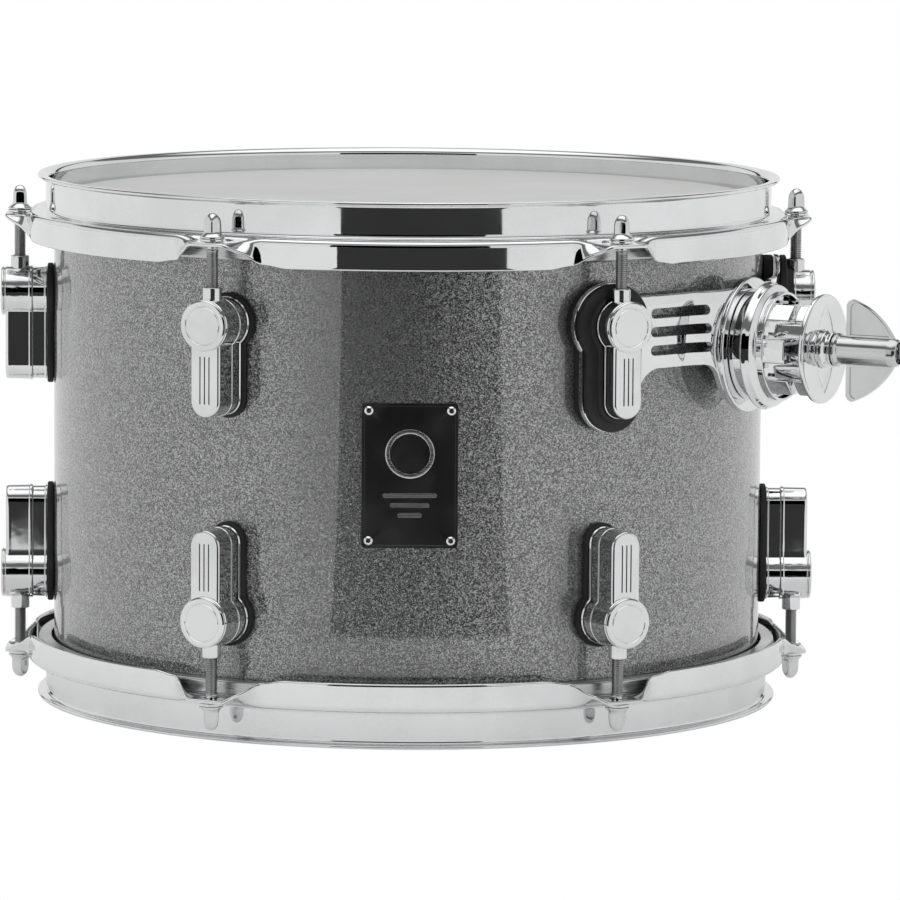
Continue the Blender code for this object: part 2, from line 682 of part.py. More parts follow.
def base_rows():
    return ((-BASE_ROW_HALF, BASE_ROW_HALF), (OUTER_ROW_START, OUTER_ROW_END),
            (-OUTER_ROW_END, -OUTER_ROW_START))


def jaw_rows():
    return (JAW_ROW_START, JAW_ROW_END), (-JAW_ROW_END, -JAW_ROW_START)


def build_clamp_base(place):
    profile = [(STUD_BORE_R, BOSS_FACE + GAP), (NECK_R, BOSS_FACE + GAP), (NECK_R, RING_BACK),
               (RING_R - 0.6 * MM, RING_BACK), (RING_R, RING_BACK + 0.6 * MM),
               (RING_SHOULDER_R, RING_SHOULDER), (RING_FRONT_R, RING_FRONT),
               (RIM_R, RIM_START), (RIM_R, RIM_FACE), (RIM_R_IN, RIM_FACE),
               (RIM_R_IN, SEAT), (STUD_BORE_R, SEAT)]
    base = add_node("clamp_base", turned_mesh("clamp_base", profile, 24), "chrome", place)
    root = SEAT - 2 * MM
    apex = ARM_CENTRE - ARM_R * sqrt(2)
    for number, (low, high) in enumerate(base_rows(), 1):
        side = side_finger("base_finger", low, high, root, FINGER_END)
        vee = vee_finger("base_vee", low, high, root, apex + ARM_SEAT_HALF, apex)
        add_cutter(f"base_finger_{number}", side, base, "UNION", place)
        add_cutter(f"base_vee_{number}", vee, base, "UNION", place)


def build_clamp_jaw(place):
    wall = WASHER_OUT_R + GAP
    profile = [(STUD_BORE_R, JAW_BACK), (JAW_R - JAW_BEVEL, JAW_BACK), (JAW_R, JAW_RIM_BACK),
               (JAW_R, JAW_FACE - 0.8 * MM), (JAW_R - 0.8 * MM, JAW_FACE), (wall, JAW_FACE),
               (wall, JAW_POCKET), (STUD_BORE_R, JAW_POCKET)]
    jaw = add_node("clamp_jaw", turned_mesh("clamp_jaw", profile, 24), "chrome", place)
    root = JAW_BACK + 0.9 * MM
    rim_root = JAW_RIM_BACK + 0.4 * MM
    apex = ARM_CENTRE + ARM_R * sqrt(2)
    for number, (low, high) in enumerate(jaw_rows(), 1):
        side = side_finger("jaw_finger", low, high, JAW_FINGER_END, rim_root)
        vee = vee_finger("jaw_vee", low, high, root, apex - ARM_SEAT_HALF, apex)
        add_cutter(f"jaw_finger_{number}", side, jaw, "UNION", place)
        add_cutter(f"jaw_vee_{number}", vee, jaw, "UNION", place)
    for number, (low, high) in enumerate(base_rows()[1:], 1):
        block = side_finger("jaw_block", low, high, JAW_BLOCK_END, rim_root)
        add_cutter(f"jaw_block_{number}", block, jaw, "UNION", place)


def build_stud(place):
    head = BOSS_BACK - GAP
    profile = [(0, WRAP_R_OUT + GAP), (STUD_HEAD_R, WRAP_R_OUT + GAP), (STUD_HEAD_R, head),
               (STUD_R, head), (STUD_R, STUD_END), (0, STUD_END)]
    add_node("clamp_stud", turned_mesh("clamp_stud", profile, 16), "steel", place)


def wing_outline():
    """Half-moon wing as (distance along the clamp, height): straight back, bowed front."""
    start = Vector((WING_BACK + 2.6 * MM, WING_HALF))
    end = Vector((NUT_END - 2.0 * MM, 5 * MM))
    chord_line = end - start
    bow = Vector((-chord_line.y, chord_line.x)).normalized() * WING_BOW
    shares = [step / 7 for step in range(8)]
    rim = [start + t * chord_line + 4 * t * (1 - t) * bow for t in shares]
    return [(WING_BACK, 5 * MM), (WING_BACK, WING_HALF - 2.4 * MM),
            (WING_BACK + 0.9 * MM, WING_HALF - 0.8 * MM)] + [tuple(point) for point in rim]


def build_wing_nut(place):
    floor = JAW_POCKET + GAP
    washer = [(STUD_BORE_R, floor), (WASHER_OUT_R, floor), (WASHER_OUT_R, WASHER_FACE - 1 * MM),
              (WASHER_OUT_R - 1 * MM, WASHER_FACE), (STUD_BORE_R, WASHER_FACE)]
    add_node("clamp_washer", turned_mesh("clamp_washer", washer, 16), "chrome", place)

    back = WASHER_FACE + GAP
    hub = [(STUD_BORE_R, back), (NUT_HUB_R + 0.9 * MM, back), (NUT_HUB_R + 0.9 * MM, back + 1.5 * MM),
           (NUT_HUB_R, back + 2.5 * MM), (NUT_HUB_R, NUT_END - 1 * MM),
           (NUT_HUB_R - 1 * MM, NUT_END), (STUD_BORE_R, NUT_END)]
    nut = add_node("wing_nut", turned_mesh("wing_nut", hub, 16), "chrome", place)
    for name, sign in (("upper_wing", 1), ("lower_wing", -1)):
        wing = prism_mesh(name, wing_outline(), -WING_THICK / 2, WING_THICK / 2)
        wing.transform(Matrix(((0, 0, 1, 0), (0, sign, 0, 0), (1, 0, 0, 0), (0, 0, 0, 1))))
        if sign > 0:
            wing.flip_normals()
        add_cutter(name, wing, nut, "UNION", place)


def build_clamp():
    place = radial_frame(PLATE_AZIMUTH, CLAMP_Z)
    build_clamp_base(place)
    build_clamp_jaw(place)
    build_stud(place)
    build_wing_nut(place)


# ---------------------------------------------------------------- badge

def rounded_rectangle(half_width, half_height, corner):
    x, y = half_width - corner, half_height - corner
    return (arc((x, y), corner, 0, 90, 3) + arc((-x, y), corner, 90, 180, 3)
            + arc((-x, -y), corner, 180, 270, 3) + arc((x, -y), corner, 270, 360, 3))


def build_badge():
    outline = rounded_rectangle(BADGE_HALF_WIDTH, BADGE_HALF_HEIGHT, BADGE_CORNER)
    cuts = np.linspace(-BADGE_HALF_WIDTH, BADGE_HALF_WIDTH, 6)[1:-1]
    back = WRAP_R_OUT + GAP
    mesh = thick_sheet("badge", filled_sheet([outline], cuts), bent(back, back),
                       bent(back + BADGE_THICK, back))
    add_node("badge", mesh, "badge_black", radial_frame(BADGE_AZIMUTH, HEAD_SPACING / 2))

    seat = back + BADGE_THICK + GAP
    dome = [(0, seat), (RIVET_R, seat), (RIVET_R, seat + 0.3 * MM),
            (0.6 * RIVET_R, seat + 0.9 * MM), (0, seat + 0.9 * MM)]
    rivet = turned_mesh("badge_rivet", dome, 10)
    number = 0
    for z in (1, -1):
        for x in (-1, 1):
            number += 1
            height = HEAD_SPACING / 2 + z * (BADGE_HALF_HEIGHT - RIVET_INSET)
            azimuth = BADGE_AZIMUTH + x * (BADGE_HALF_WIDTH - RIVET_INSET) / back
            add_node(f"badge_rivet_{number}", rivet, "steel", radial_frame(azimuth, height))


def build_tom():
    clear_scene()
    build_shell()
    build_vent_grommet()
    build_heads()
    build_hoops()
    build_rods()
    build_lugs()
    build_pads()
    build_mount_plate()
    build_clamp()
    build_badge()


build_tom()
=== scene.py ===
import math

import bmesh
import bpy
import numpy as np
from mathutils import Matrix, Vector


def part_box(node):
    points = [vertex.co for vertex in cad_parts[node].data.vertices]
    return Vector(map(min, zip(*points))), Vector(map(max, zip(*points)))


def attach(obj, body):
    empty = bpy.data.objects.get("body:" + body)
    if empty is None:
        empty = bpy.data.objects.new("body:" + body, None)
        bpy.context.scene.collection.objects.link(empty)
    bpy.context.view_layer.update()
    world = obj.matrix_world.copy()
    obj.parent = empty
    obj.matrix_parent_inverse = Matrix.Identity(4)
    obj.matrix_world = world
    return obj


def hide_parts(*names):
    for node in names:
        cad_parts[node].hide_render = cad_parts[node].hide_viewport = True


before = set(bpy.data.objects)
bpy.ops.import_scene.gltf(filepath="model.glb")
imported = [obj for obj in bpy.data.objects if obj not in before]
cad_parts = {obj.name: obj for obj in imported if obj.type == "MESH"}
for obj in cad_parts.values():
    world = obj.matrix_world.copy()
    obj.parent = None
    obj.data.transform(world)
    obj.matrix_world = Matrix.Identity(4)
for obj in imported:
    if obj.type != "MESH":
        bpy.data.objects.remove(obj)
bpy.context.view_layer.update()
mm = 0.001
mergeReach = 0.0005 * mm  # points nearer than this become one
print("frame loaded,", len(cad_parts), "nodes")

# places read from the frame
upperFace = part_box("batter_head")[1].z      # outer faces of the two heads
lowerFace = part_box("resonant_head")[0].z
midHeight = (upperFace + lowerFace) / 2
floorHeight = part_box("resonant_hoop")[0].z
lugAngles = [math.radians(a) for a in (-150, -90, -30, 30, 90, 150)]  # from the badge, towards +X
plateLugs = (4, 5)
clampAngle = math.radians(60)
clampHeight = (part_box("clamp_jaw")[0].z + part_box("clamp_jaw")[1].z) / 2


# ---- places, grids and profiles

def placeOut(angle, height, stemDown=False):
    # local x across, y along the drum, z straight out; the stem of a lug runs up local y
    out = np.array([math.sin(angle), -math.cos(angle), 0.0])
    along = np.array([0.0, 0.0, -1.0 if stemDown else 1.0])
    place = np.eye(4)
    place[:3, 0], place[:3, 1], place[:3, 2] = np.cross(along, out), along, out
    place[2, 3] = height
    return place


def placeEnd(upper):
    # local z points out of the drum through the upper or lower head
    place = np.eye(4)
    if upper:
        place[2, 3] = upperFace
    else:
        place[1, 1] = place[2, 2] = -1
        place[2, 3] = lowerFace
    return place


def onRodCircle(place, angle):
    # the place moved from the drum's axis to a rod's
    place[:2, 3] = rodLook["circle"] * math.sin(angle), -rodLook["circle"] * math.cos(angle)
    return place


def inMetres(**sizes):
    # named lengths, typed in millimetres
    return {name: np.multiply(value, mm) for name, value in sizes.items()}


def moved(points, place):
    return points @ place[:3, :3].T + place[:3, 3]


def gridQuads(rows, cols, wrapRows=False, wrapCols=True):
    # quads between neighbouring rows and columns of a rows by cols grid of points
    r = np.arange(rows if wrapRows else rows - 1)
    c = np.arange(cols if wrapCols else cols - 1)
    r, c = np.meshgrid(r, c, indexing="ij")
    r2, c2 = (r + 1) % rows, (c + 1) % cols
    quads = np.stack([r * cols + c, r * cols + c2, r2 * cols + c2, r2 * cols + c], axis=-1)
    return quads.reshape(-1, 4)


def meshFrom(name, points, quads, caps=()):
    # one mesh out of a point array, a quad array and a few many-sided caps
    mesh = bpy.data.meshes.new(name)
    mesh.from_pydata(points.reshape(-1, 3).tolist(), [], quads.tolist() + [list(c) for c in caps])
    work = bmesh.new()
    work.from_mesh(mesh)
    bmesh.ops.remove_doubles(work, verts=work.verts, dist=mergeReach)
    bmesh.ops.recalc_face_normals(work, faces=work.faces)
    work.to_mesh(mesh)
    work.free()
    return mesh


def stacked(name, rings, closed=False):
    # rings of equally many points joined in turn; closed joins the last to the first, else both are capped
    rings = np.asarray(rings)
    rows, cols = rings.shape[:2]
    caps = () if closed else (range(cols), range((rows - 1) * cols, rows * cols))
    return meshFrom(name, rings, gridQuads(rows, cols, wrapRows=closed), caps)


def filleted(corners, radii, steps=6, closed=False):
    # a polyline whose corners become arcs: each arc leaves its corner's two legs at equal distance
    corners = [np.array(c, float) for c in corners]
    radii = [radii] * len(corners) if np.isscalar(radii) else list(radii)
    count = len(corners)
    made = []
    for i, corner in enumerate(corners):
        if radii[i] <= 0 or (not closed and i in (0, count - 1)):
            made.append(corner)
            continue
        a, b = corners[i - 1] - corner, corners[(i + 1) % count] - corner
        la, lb = np.linalg.norm(a), np.linalg.norm(b)
        a, b = a / la, b / lb
        half = math.acos(float(np.clip(a @ b, -1, 1))) / 2
        if half > math.radians(89.5):
            made.append(corner)
            continue
        leg = min(radii[i] / math.tan(half), 0.49 * la, 0.49 * lb)
        radius = leg * math.tan(half)
        middle = corner + (a + b) / np.linalg.norm(a + b) * (radius / math.sin(half))
        start, end = corner + a * leg - middle, corner + b * leg - middle
        sweep = math.pi - 2 * half
        share = np.linspace(0, 1, steps + 1)[:, None]
        arcs = (np.sin((1 - share) * sweep) * start + np.sin(share * sweep) * end) / math.sin(sweep)
        made.extend(middle + arcs)
    return np.array(made)


def held(profile, hold=0.25 * mm, closed=False):
    # extra points near both ends of each long straight, so that flats stay flat when shaded smooth
    made = []
    count = len(profile)
    for i in range(count if closed else count - 1):
        a, b = profile[i], profile[(i + 1) % count]
        made.append(a)
        length = np.linalg.norm(b - a)
        if length > 4 * hold:
            made += [a + (b - a) * hold / length, b - (b - a) * hold / length]
    if not closed:
        made.append(profile[-1])
    return np.array(made)


def milled(corners, radii, hold=None, closed=True, steps=5):
    # an outline with arcs at its corners and its flats held, all typed in millimetres
    outline = filleted(np.array(corners) * mm, np.array(radii) * mm, steps, closed)
    return outline if hold is None else held(outline, hold * mm, closed)


def turned(name, profile, steps, place=None):
    # point (r, h) of the profile goes to (r cos t, r sin t, h); a profile off the axis makes a ring
    profile = np.asarray(profile, float)
    t = np.linspace(0, 2 * math.pi, steps, endpoint=False)
    r, h = profile[:, 0][:, None], profile[:, 1][:, None]
    points = np.stack([r * np.cos(t), r * np.sin(t), h + 0 * t], axis=-1)
    if place is not None:
        points = moved(points.reshape(-1, 3), place).reshape(points.shape)
    if profile[0, 0] < mergeReach:  # both ends lie on the axis: fans replace the end rings
        return meshFrom(name, *fanEnds(points))
    return meshFrom(name, points, gridQuads(len(profile), steps, wrapRows=True))


def fanEnds(points):
    rows, cols = points.shape[:2]
    inner = points[1:-1].reshape(-1, 3)
    tips = np.array([points[0, 0], points[-1, 0]])
    quads = gridQuads(rows - 2, cols)
    first, last = len(inner), len(inner) + 1
    i = np.arange(cols)
    j = (i + 1) % cols
    base = (rows - 3) * cols
    fans = [[first, b, a] for a, b in zip(i.tolist(), j.tolist())]
    fans += [[last, base + a, base + b] for a, b in zip(i.tolist(), j.tolist())]
    return np.concatenate([inner, tips]), quads, fans


def linked(name, data):
    # a new object in the scene
    made = bpy.data.objects.new(name, data)
    bpy.context.scene.collection.objects.link(made)
    return made


def cutMesh(mesh, steps):
    # the mesh after Boolean steps of (operation, tool mesh)
    body = linked("cutBody", mesh)
    tools = []
    for operation, toolMesh in steps:
        tools.append(linked("cutTool", toolMesh))
        change = body.modifiers.new("cut", "BOOLEAN")
        change.operation, change.solver, change.object = operation, "EXACT", tools[-1]
    bpy.context.view_layer.update()
    result = bpy.data.meshes.new_from_object(body.evaluated_get(bpy.context.evaluated_depsgraph_get()))
    for spare in [body] + tools:
        bpy.data.objects.remove(spare)
    work = bmesh.new()
    work.from_mesh(result)
    bmesh.ops.remove_doubles(work, verts=work.verts, dist=mergeReach)
    bmesh.ops.dissolve_degenerate(work, edges=work.edges, dist=mergeReach)
    work.to_mesh(result)
    work.free()
    return result


def addPiece(name, mesh, material, body, nodes=(), place=None, sharp=32):
    if place is not None:
        mesh = mesh.copy()
        mesh.transform(Matrix(place.tolist()))
    mesh.materials.clear()
    mesh.materials.append(material)
    mesh.shade_smooth()
    mesh.set_sharp_from_angle(angle=math.radians(sharp))
    piece = linked(name, mesh)
    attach(piece, body)
    if nodes:
        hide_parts(*nodes)
    return piece


# ---- shared shader groups

def newGroup(name, inputs, outputs):
    # inputs: name to (socket kind, value); outputs: name to socket kind
    group = bpy.data.node_groups.new(name, "ShaderNodeTree")
    for label, (kind, value) in inputs.items():
        made = group.interface.new_socket(name=label, in_out="INPUT", socket_type="NodeSocket" + kind)
        made.default_value = value
    for label, kind in outputs.items():
        group.interface.new_socket(name=label, in_out="OUTPUT", socket_type="NodeSocket" + kind)
    start, end = group.nodes.new("NodeGroupInput"), group.nodes.new("NodeGroupOutput")
    return group, start.outputs, end.inputs


def addNode(tree, kind, settings=None, **inputs):
    # a node with its settings, and each input a value or a socket to link from; i0 is the first input
    node = tree.nodes.new("ShaderNode" + kind)
    for key, value in (settings or {}).items():
        setattr(node, key, value)
    for key, value in inputs.items():
        target = node.inputs[int(key[1:])] if key[0] == "i" and key[1:].isdigit() else node.inputs[key]
        if isinstance(value, bpy.types.NodeSocket):
            tree.links.new(value, target)
        else:
            target.default_value = value
    return node


def feed(tree, sockets, **values):
    # links each value to the socket of its name, with a space for each underscore
    for key, value in values.items():
        tree.links.new(value, sockets[key.replace("_", " ")])


def maths(tree, operation, a, b=0.0, c=0.0):
    return addNode(tree, "Math", {"operation": operation}, i0=a, i1=b, i2=c).outputs[0]


def vectors(tree, operation, **inputs):
    return addNode(tree, "VectorMath", {"operation": operation}, **inputs).outputs[0]


def ranged(tree, value, low, high, toLow, toHigh):
    return addNode(tree, "MapRange", {"interpolation_type": "SMOOTHSTEP"}, i0=value, i1=low, i2=high, i3=toLow,
                   i4=toHigh).outputs[0]


def mixed(tree, factor, a, b):
    return addNode(tree, "Mix", {"data_type": "RGBA"}, i0=factor, i6=a, i7=b).outputs[2]


def noiseAt(tree, vector, scale, detail=2.0, rough=0.5):
    return addNode(tree, "TexNoise", Vector=vector, Scale=scale, Detail=detail, Roughness=rough).outputs[0]


def cellsAt(tree, vector, scale):
    # each cell's own random colour
    cells = addNode(tree, "TexVoronoi", {"feature": "F1"}, Vector=vector, Scale=scale, Randomness=1.0)
    return cells.outputs["Color"]


def objectSpot(tree):
    return addNode(tree, "TexCoord").outputs["Object"]


def grey(value, tint=0.0):
    return (value * (1 - tint), value, value * (1 + tint), 1.0)


def makeSmudge():
    # slow patches of handling and fine dust: out come a roughness and a mask
    group, given, out = newGroup("smudge", {"Scale": ("Float", 18.0), "Clean": ("Float", 0.03),
                                            "Worn": ("Float", 0.08)}, {"Roughness": "Float", "Mask": "Float"})
    spot = objectSpot(group)
    patch = noiseAt(group, spot, given["Scale"], 4.0, 0.55)
    fine = noiseAt(group, spot, maths(group, "MULTIPLY", given["Scale"], 40.0), 2.0)
    mask = ranged(group, maths(group, "MULTIPLY_ADD", fine, 0.18, patch), 0.48, 0.78, 0.0, 1.0)
    span = maths(group, "SUBTRACT", given["Worn"], given["Clean"])
    feed(group, out, Roughness=maths(group, "MULTIPLY_ADD", mask, span, given["Clean"]), Mask=mask)
    return group


def makeFlakes():
    # small cells, each with its own brightness and lean, as cut foil in lacquer
    group, given, out = newGroup("flakes", {"Scale": ("Float", 2300.0), "Lean": ("Float", 0.5),
                                            "Dark": ("Color", grey(0.05)), "Bright": ("Color", grey(0.5))},
                                 {"Color": "Color", "Normal": "Vector", "Glint": "Float"})
    spot = objectSpot(group)
    cells = cellsAt(group, spot, given["Scale"])
    finer = cellsAt(group, spot, maths(group, "MULTIPLY", given["Scale"], 1.9))
    first, second = (addNode(group, "SeparateColor", Color=c).outputs[0] for c in (cells, finer))
    level, levelFine = ranged(group, first, 0.42, 0.86, 0.0, 1.0), ranged(group, second, 0.5, 0.9, 0.0, 1.0)
    both = maths(group, "MULTIPLY_ADD", level, 0.62, maths(group, "MULTIPLY", levelFine, 0.38))
    lean = vectors(group, "SUBTRACT", i0=cells, i1=(0.5, 0.5, 0.5))
    lean = vectors(group, "SCALE", i0=lean, Scale=given["Lean"])
    tilted = vectors(group, "ADD", i0=addNode(group, "NewGeometry").outputs["Normal"], i1=lean)
    feed(group, out, Color=mixed(group, both, given["Dark"], given["Bright"]), Glint=both,
         Normal=vectors(group, "NORMALIZE", i0=tilted))
    return group


smudge, flakes = makeSmudge(), makeFlakes()


# ---- materials

def newMaterial(name, **values):
    material = bpy.data.materials.new(name)
    material.use_nodes = True
    shader = material.node_tree.nodes["Principled BSDF"].inputs
    for key, value in values.items():
        shader[key.replace("_", " ")].default_value = value
    return material, material.node_tree, shader


def useGroup(tree, group, **values):
    return addNode(tree, "Group", {"node_tree": group}, **values).outputs


def addBump(tree, shader, height, strength, distance):
    # distance is in millimetres
    bump = addNode(tree, "Bump", Strength=strength, Distance=distance * mm, Height=height)
    feed(tree, shader, Normal=bump.outputs[0])


def handled(name, marks, colours, tooth=None, **values):
    # marks (scale, clean, worn) drive the roughness and mix two colours; tooth is (scale, detail, strength, mm)
    material, tree, shader = newMaterial(name, **values)
    wear = useGroup(tree, smudge, Scale=marks[0], Clean=marks[1], Worn=marks[2])
    feed(tree, shader, Roughness=wear["Roughness"], Base_Color=mixed(tree, wear["Mask"], *colours))
    if tooth:
        addBump(tree, shader, noiseAt(tree, objectSpot(tree), tooth[0], tooth[1]), tooth[2], tooth[3])
    return material


def plated(name, level, tint, clean, worn, wave=0.02, scale=18.0):
    # bright plate: mirror with slow handling patches, and the faint wave of cast metal under it
    return handled(name, (scale, clean, worn), (grey(level, tint), grey(level * 0.9, tint)),
                   (160.0, 1.0, wave, 0.4), Metallic=1.0)


def makeWrapMaterial():
    material, tree, shader = newMaterial("sparkleWrap", Coat_Weight=1.0, Coat_Roughness=0.03, Coat_IOR=1.8,
                                         Roughness=0.30)
    foil = useGroup(tree, flakes, Scale=2500.0, Lean=0.36, Dark=grey(0.016, 0.01), Bright=grey(0.60, 0.01))
    feed(tree, shader, Base_Color=foil["Color"], Normal=foil["Normal"],
         Metallic=ranged(tree, foil["Glint"], 0.1, 0.6, 0.25, 0.85))
    return material


def makeCoatedFilmMaterial():
    # white sprayed coating: fine tooth all over, with slow changes in how thick it lies
    material, tree, shader = newMaterial("coatedFilm")
    spot = objectSpot(tree)
    tooth = noiseAt(tree, spot, 1900.0, 3.0, 0.6)
    cloud = ranged(tree, noiseAt(tree, spot, 14.0, 3.0), 0.35, 0.65, 0.0, 1.0)
    feed(tree, shader, Base_Color=mixed(tree, cloud, grey(0.74, -0.004), grey(0.79)),
         Roughness=ranged(tree, tooth, 0.3, 0.7, 0.48, 0.66))
    addBump(tree, shader, tooth, 0.3, 0.15)
    return material


def makeMapleMaterial():
    # the grain runs round the shell, with darker pores along it
    material, tree, shader = newMaterial("maplePlies", Coat_Weight=0.25, Coat_Roughness=0.25)
    drawn = addNode(tree, "Mapping", Vector=objectSpot(tree), Scale=(9.0, 9.0, 130.0)).outputs[0]
    grain = noiseAt(tree, drawn, 3.0, 6.0, 0.62)
    pores = noiseAt(tree, drawn, 22.0)
    base = mixed(tree, ranged(tree, grain, 0.32, 0.7, 0.0, 1.0), (0.60, 0.40, 0.22, 1), (0.78, 0.58, 0.36, 1))
    dark = mixed(tree, ranged(tree, pores, 0.62, 0.75, 0.0, 0.5), base, (0.36, 0.21, 0.10, 1))
    feed(tree, shader, Base_Color=dark, Roughness=ranged(tree, grain, 0.3, 0.7, 0.38, 0.55))
    addBump(tree, shader, pores, 0.15, 0.1)
    return material


def makeBrushedMaterial(name, level, tint, along, rough):
    # fine lines drawn out along one way, lighter and smoother in turn
    material, tree, shader = newMaterial(name, Metallic=1.0)
    drawn = addNode(tree, "Mapping", Vector=objectSpot(tree), Scale=(4.0, 4.0, along)).outputs[0]
    lines = noiseAt(tree, drawn, 3.0)
    feed(tree, shader, Base_Color=mixed(tree, lines, grey(level * 0.8, tint), grey(level, tint)),
         Roughness=ranged(tree, lines, 0.3, 0.7, *rough))
    addBump(tree, shader, lines, 0.12, 0.05)
    return material


chrome = plated("chromePlate", 0.83, 0.006, 0.018, 0.05)
satinChrome = plated("satinChrome", 0.64, 0.005, 0.11, 0.19, wave=0.05, scale=45.0)
castChrome = plated("castChrome", 0.80, 0.006, 0.03, 0.075, wave=0.05, scale=34.0)
rodSteel = plated("rodSteel", 0.42, 0.004, 0.16, 0.26, wave=0.04, scale=70.0)
brightKey = plated("rodHead", 0.78, 0.004, 0.05, 0.11, wave=0.05, scale=70.0)
rubber = handled("mouldedRubber", (60.0, 0.5, 0.68), (grey(0.012), grey(0.026)), (2600.0, 2.0, 0.25, 0.12),
                 Specular_IOR_Level=0.35)
badgeBlack = handled("badgeBlack", (55.0, 0.3, 0.42), (grey(0.006), grey(0.012)), (2200.0, 2.0, 0.1, 0.05),
                     Coat_Weight=0.35, Coat_Roughness=0.12)
clearFilm = handled("clearFilm", (9.0, 0.03, 0.12), (grey(0.97), grey(0.93)), Metallic=0.0,
                    Transmission_Weight=1.0, IOR=1.35)
wrapMaterial, coatedFilm, maple = makeWrapMaterial(), makeCoatedFilmMaterial(), makeMapleMaterial()
satinAluminium = makeBrushedMaterial("satinAluminium", 0.62, 0.005, 900.0, (0.22, 0.36))
emblemMetal = makeBrushedMaterial("emblemMetal", 0.72, 0.004, 700.0, (0.2, 0.32))
print("materials made")


# ---- shell and wrap

shellLook = inMetres(inner=143.9, crest=147.5, outer=149.9, edge=0.6, wrapInner=150.2, wrapOuter=150.8,
                     setback=5.0, seamStep=0.28, ventRadius=6.3, toolReach=4.0)
seamAngle = math.radians(118)


def makeShell():
    # wall section turned round the axis: 45 degree inner cut, small crest, rounded outer shoulder
    p = shellLook
    low, high = lowerFace + p["edge"], upperFace - p["edge"]
    drop = p["crest"] - p["inner"]
    corners = [(p["inner"], low + drop), (p["crest"], low), (p["outer"], low + 1.6 * mm),
               (p["outer"], high - 1.6 * mm), (p["crest"], high), (p["inner"], high - drop)]
    radii = np.array([0.4, 0.5, 1.5, 1.5, 0.5, 0.4]) * mm
    section = held(filleted(corners, radii, 4, True), 2 * mm, True)
    shell = cutMesh(turned("shellBody", section, 360), [("DIFFERENCE", ventTool())])
    addPiece("shellBody", shell, maple, "root", ["shell"])


def ventTool():
    p = shellLook
    start, end = p["inner"] - p["toolReach"], p["wrapOuter"] + p["toolReach"]
    reach = [(0, start), (p["ventRadius"], start), (p["ventRadius"], end), (0, end)]
    return turned("ventTool", reach, 40, placeOut(math.pi, midHeight))


def makeWrap():
    # ring whose outer radius falls by the lap's step at the seam and creeps back over half the way round
    p = shellLook
    t = np.linspace(0, 2 * math.pi, 720, endpoint=False)
    past = np.mod(t - seamAngle, 2 * math.pi) / (2 * math.pi)
    drop = p["seamStep"] * np.clip(1 - past / 0.5, 0, 1) ** 1.2
    low, high = lowerFace + p["setback"], upperFace - p["setback"]
    section = [(0, low), (0.7, low), (1, low + 0.2 * mm), (1, low + 1 * mm)]
    section += [(1, h) for h in np.linspace(low + 8 * mm, high - 8 * mm, 9)]
    section += [(1, high - 1 * mm), (1, high - 0.2 * mm), (0.7, high), (0, high)]
    section = np.array(section)
    radius = p["wrapInner"] + section[:, 0] * (p["wrapOuter"] - p["wrapInner"] - drop)[:, None]
    points = np.stack([radius * np.sin(t)[:, None], -radius * np.cos(t)[:, None],
                       np.broadcast_to(section[:, 1], radius.shape)], axis=-1)
    wrap = meshFrom("wrapSheet", points, gridQuads(len(t), len(section), wrapRows=True))
    wrap = cutMesh(wrap, [("DIFFERENCE", ventTool())])
    addPiece("wrapSheet", wrap, wrapMaterial, "root", ["shell_wrap"])


def makeVent():
    inner, seat = shellLook["inner"] / mm, shellLook["wrapOuter"] / mm + 0.25
    corners = [(4.2, inner - 1.2), (6.4, inner - 1.2), (6.4, inner - 0.3), (5.85, inner), (5.85, seat),
               (8.5, seat), (8.5, seat + 0.55), (7.2, seat + 1.25), (4.9, seat + 1.2), (4.2, seat + 0.5)]
    vent = turned("ventGrommet", milled(corners, 0.3, 0.15, steps=4), 64, placeOut(math.pi, midHeight))
    addPiece("ventGrommet", vent, chrome, "root", ["vent_grommet"])


makeShell()
makeWrap()
makeVent()
print("shell, wrap and vent made")


# ---- heads and flesh hoops

headLook = inMetres(film=0.3, crest=147.5, collar=151.5, depth=11.0, shoulder=2.4, fleshInner=151.8,
                    fleshOuter=157.4, fleshTop=8.3, fleshTall=8.0)


def makeHead(upper, material):
    # film section: flat to just past the bearing edge, an arc over it, then the collar straight down
    p = headLook
    side = "batter" if upper else "resonant"
    innerWall = p["collar"] - p["film"]
    outside = filleted([(0, 0), (p["crest"] + 0.6 * mm, 0), (p["collar"], -p["shoulder"]),
                        (p["collar"], -p["depth"])], [0, 3 * mm, 3 * mm, 0], 8)
    inside = filleted([(innerWall, -p["depth"]), (innerWall, -p["shoulder"] - 0.1 * mm),
                       (p["crest"] + 0.5 * mm, -p["film"]), (0, -p["film"])], [0, 2.8 * mm, 2.8 * mm, 0], 8)
    rings = np.linspace(20 * mm, 140 * mm, 7)
    section = np.concatenate([[[0, 0]], np.stack([rings, 0 * rings], 1), outside[1:], inside[:-1],
                              np.stack([rings[::-1], 0 * rings - p["film"]], 1), [[0, -p["film"]]]])
    mesh = turned(side + "Film", section, 240, placeEnd(upper))
    addPiece(side + "Film", mesh, material, side + "_rim", [side + "_head"])


def makeFlesh(upper):
    p = headLook
    side = "batter" if upper else "resonant"
    inner, outer = p["fleshInner"] / mm, p["fleshOuter"] / mm
    top, low = -p["fleshTop"] / mm, -(p["fleshTop"] + p["fleshTall"]) / mm
    corners = [(inner, low), (outer, low), (outer, top - 2.6), (outer - 0.7, top - 2.2),
               (outer - 0.7, top - 1.7), (outer, top - 1.3), (outer, top), (inner, top)]
    section = milled(corners, [0.6, 1.2, 0.2, 0.2, 0.2, 0.2, 0.9, 0.5], 0.3, steps=4)
    addPiece(side + "FleshHoop", turned(side + "Flesh", section, 240, placeEnd(upper)), satinAluminium,
             side + "_rim", [side + "_flesh_hoop"])


makeHead(True, coatedFilm)
makeHead(False, clearFilm)
makeFlesh(True)
makeFlesh(False)
print("heads made")


# ---- triple-flanged hoops

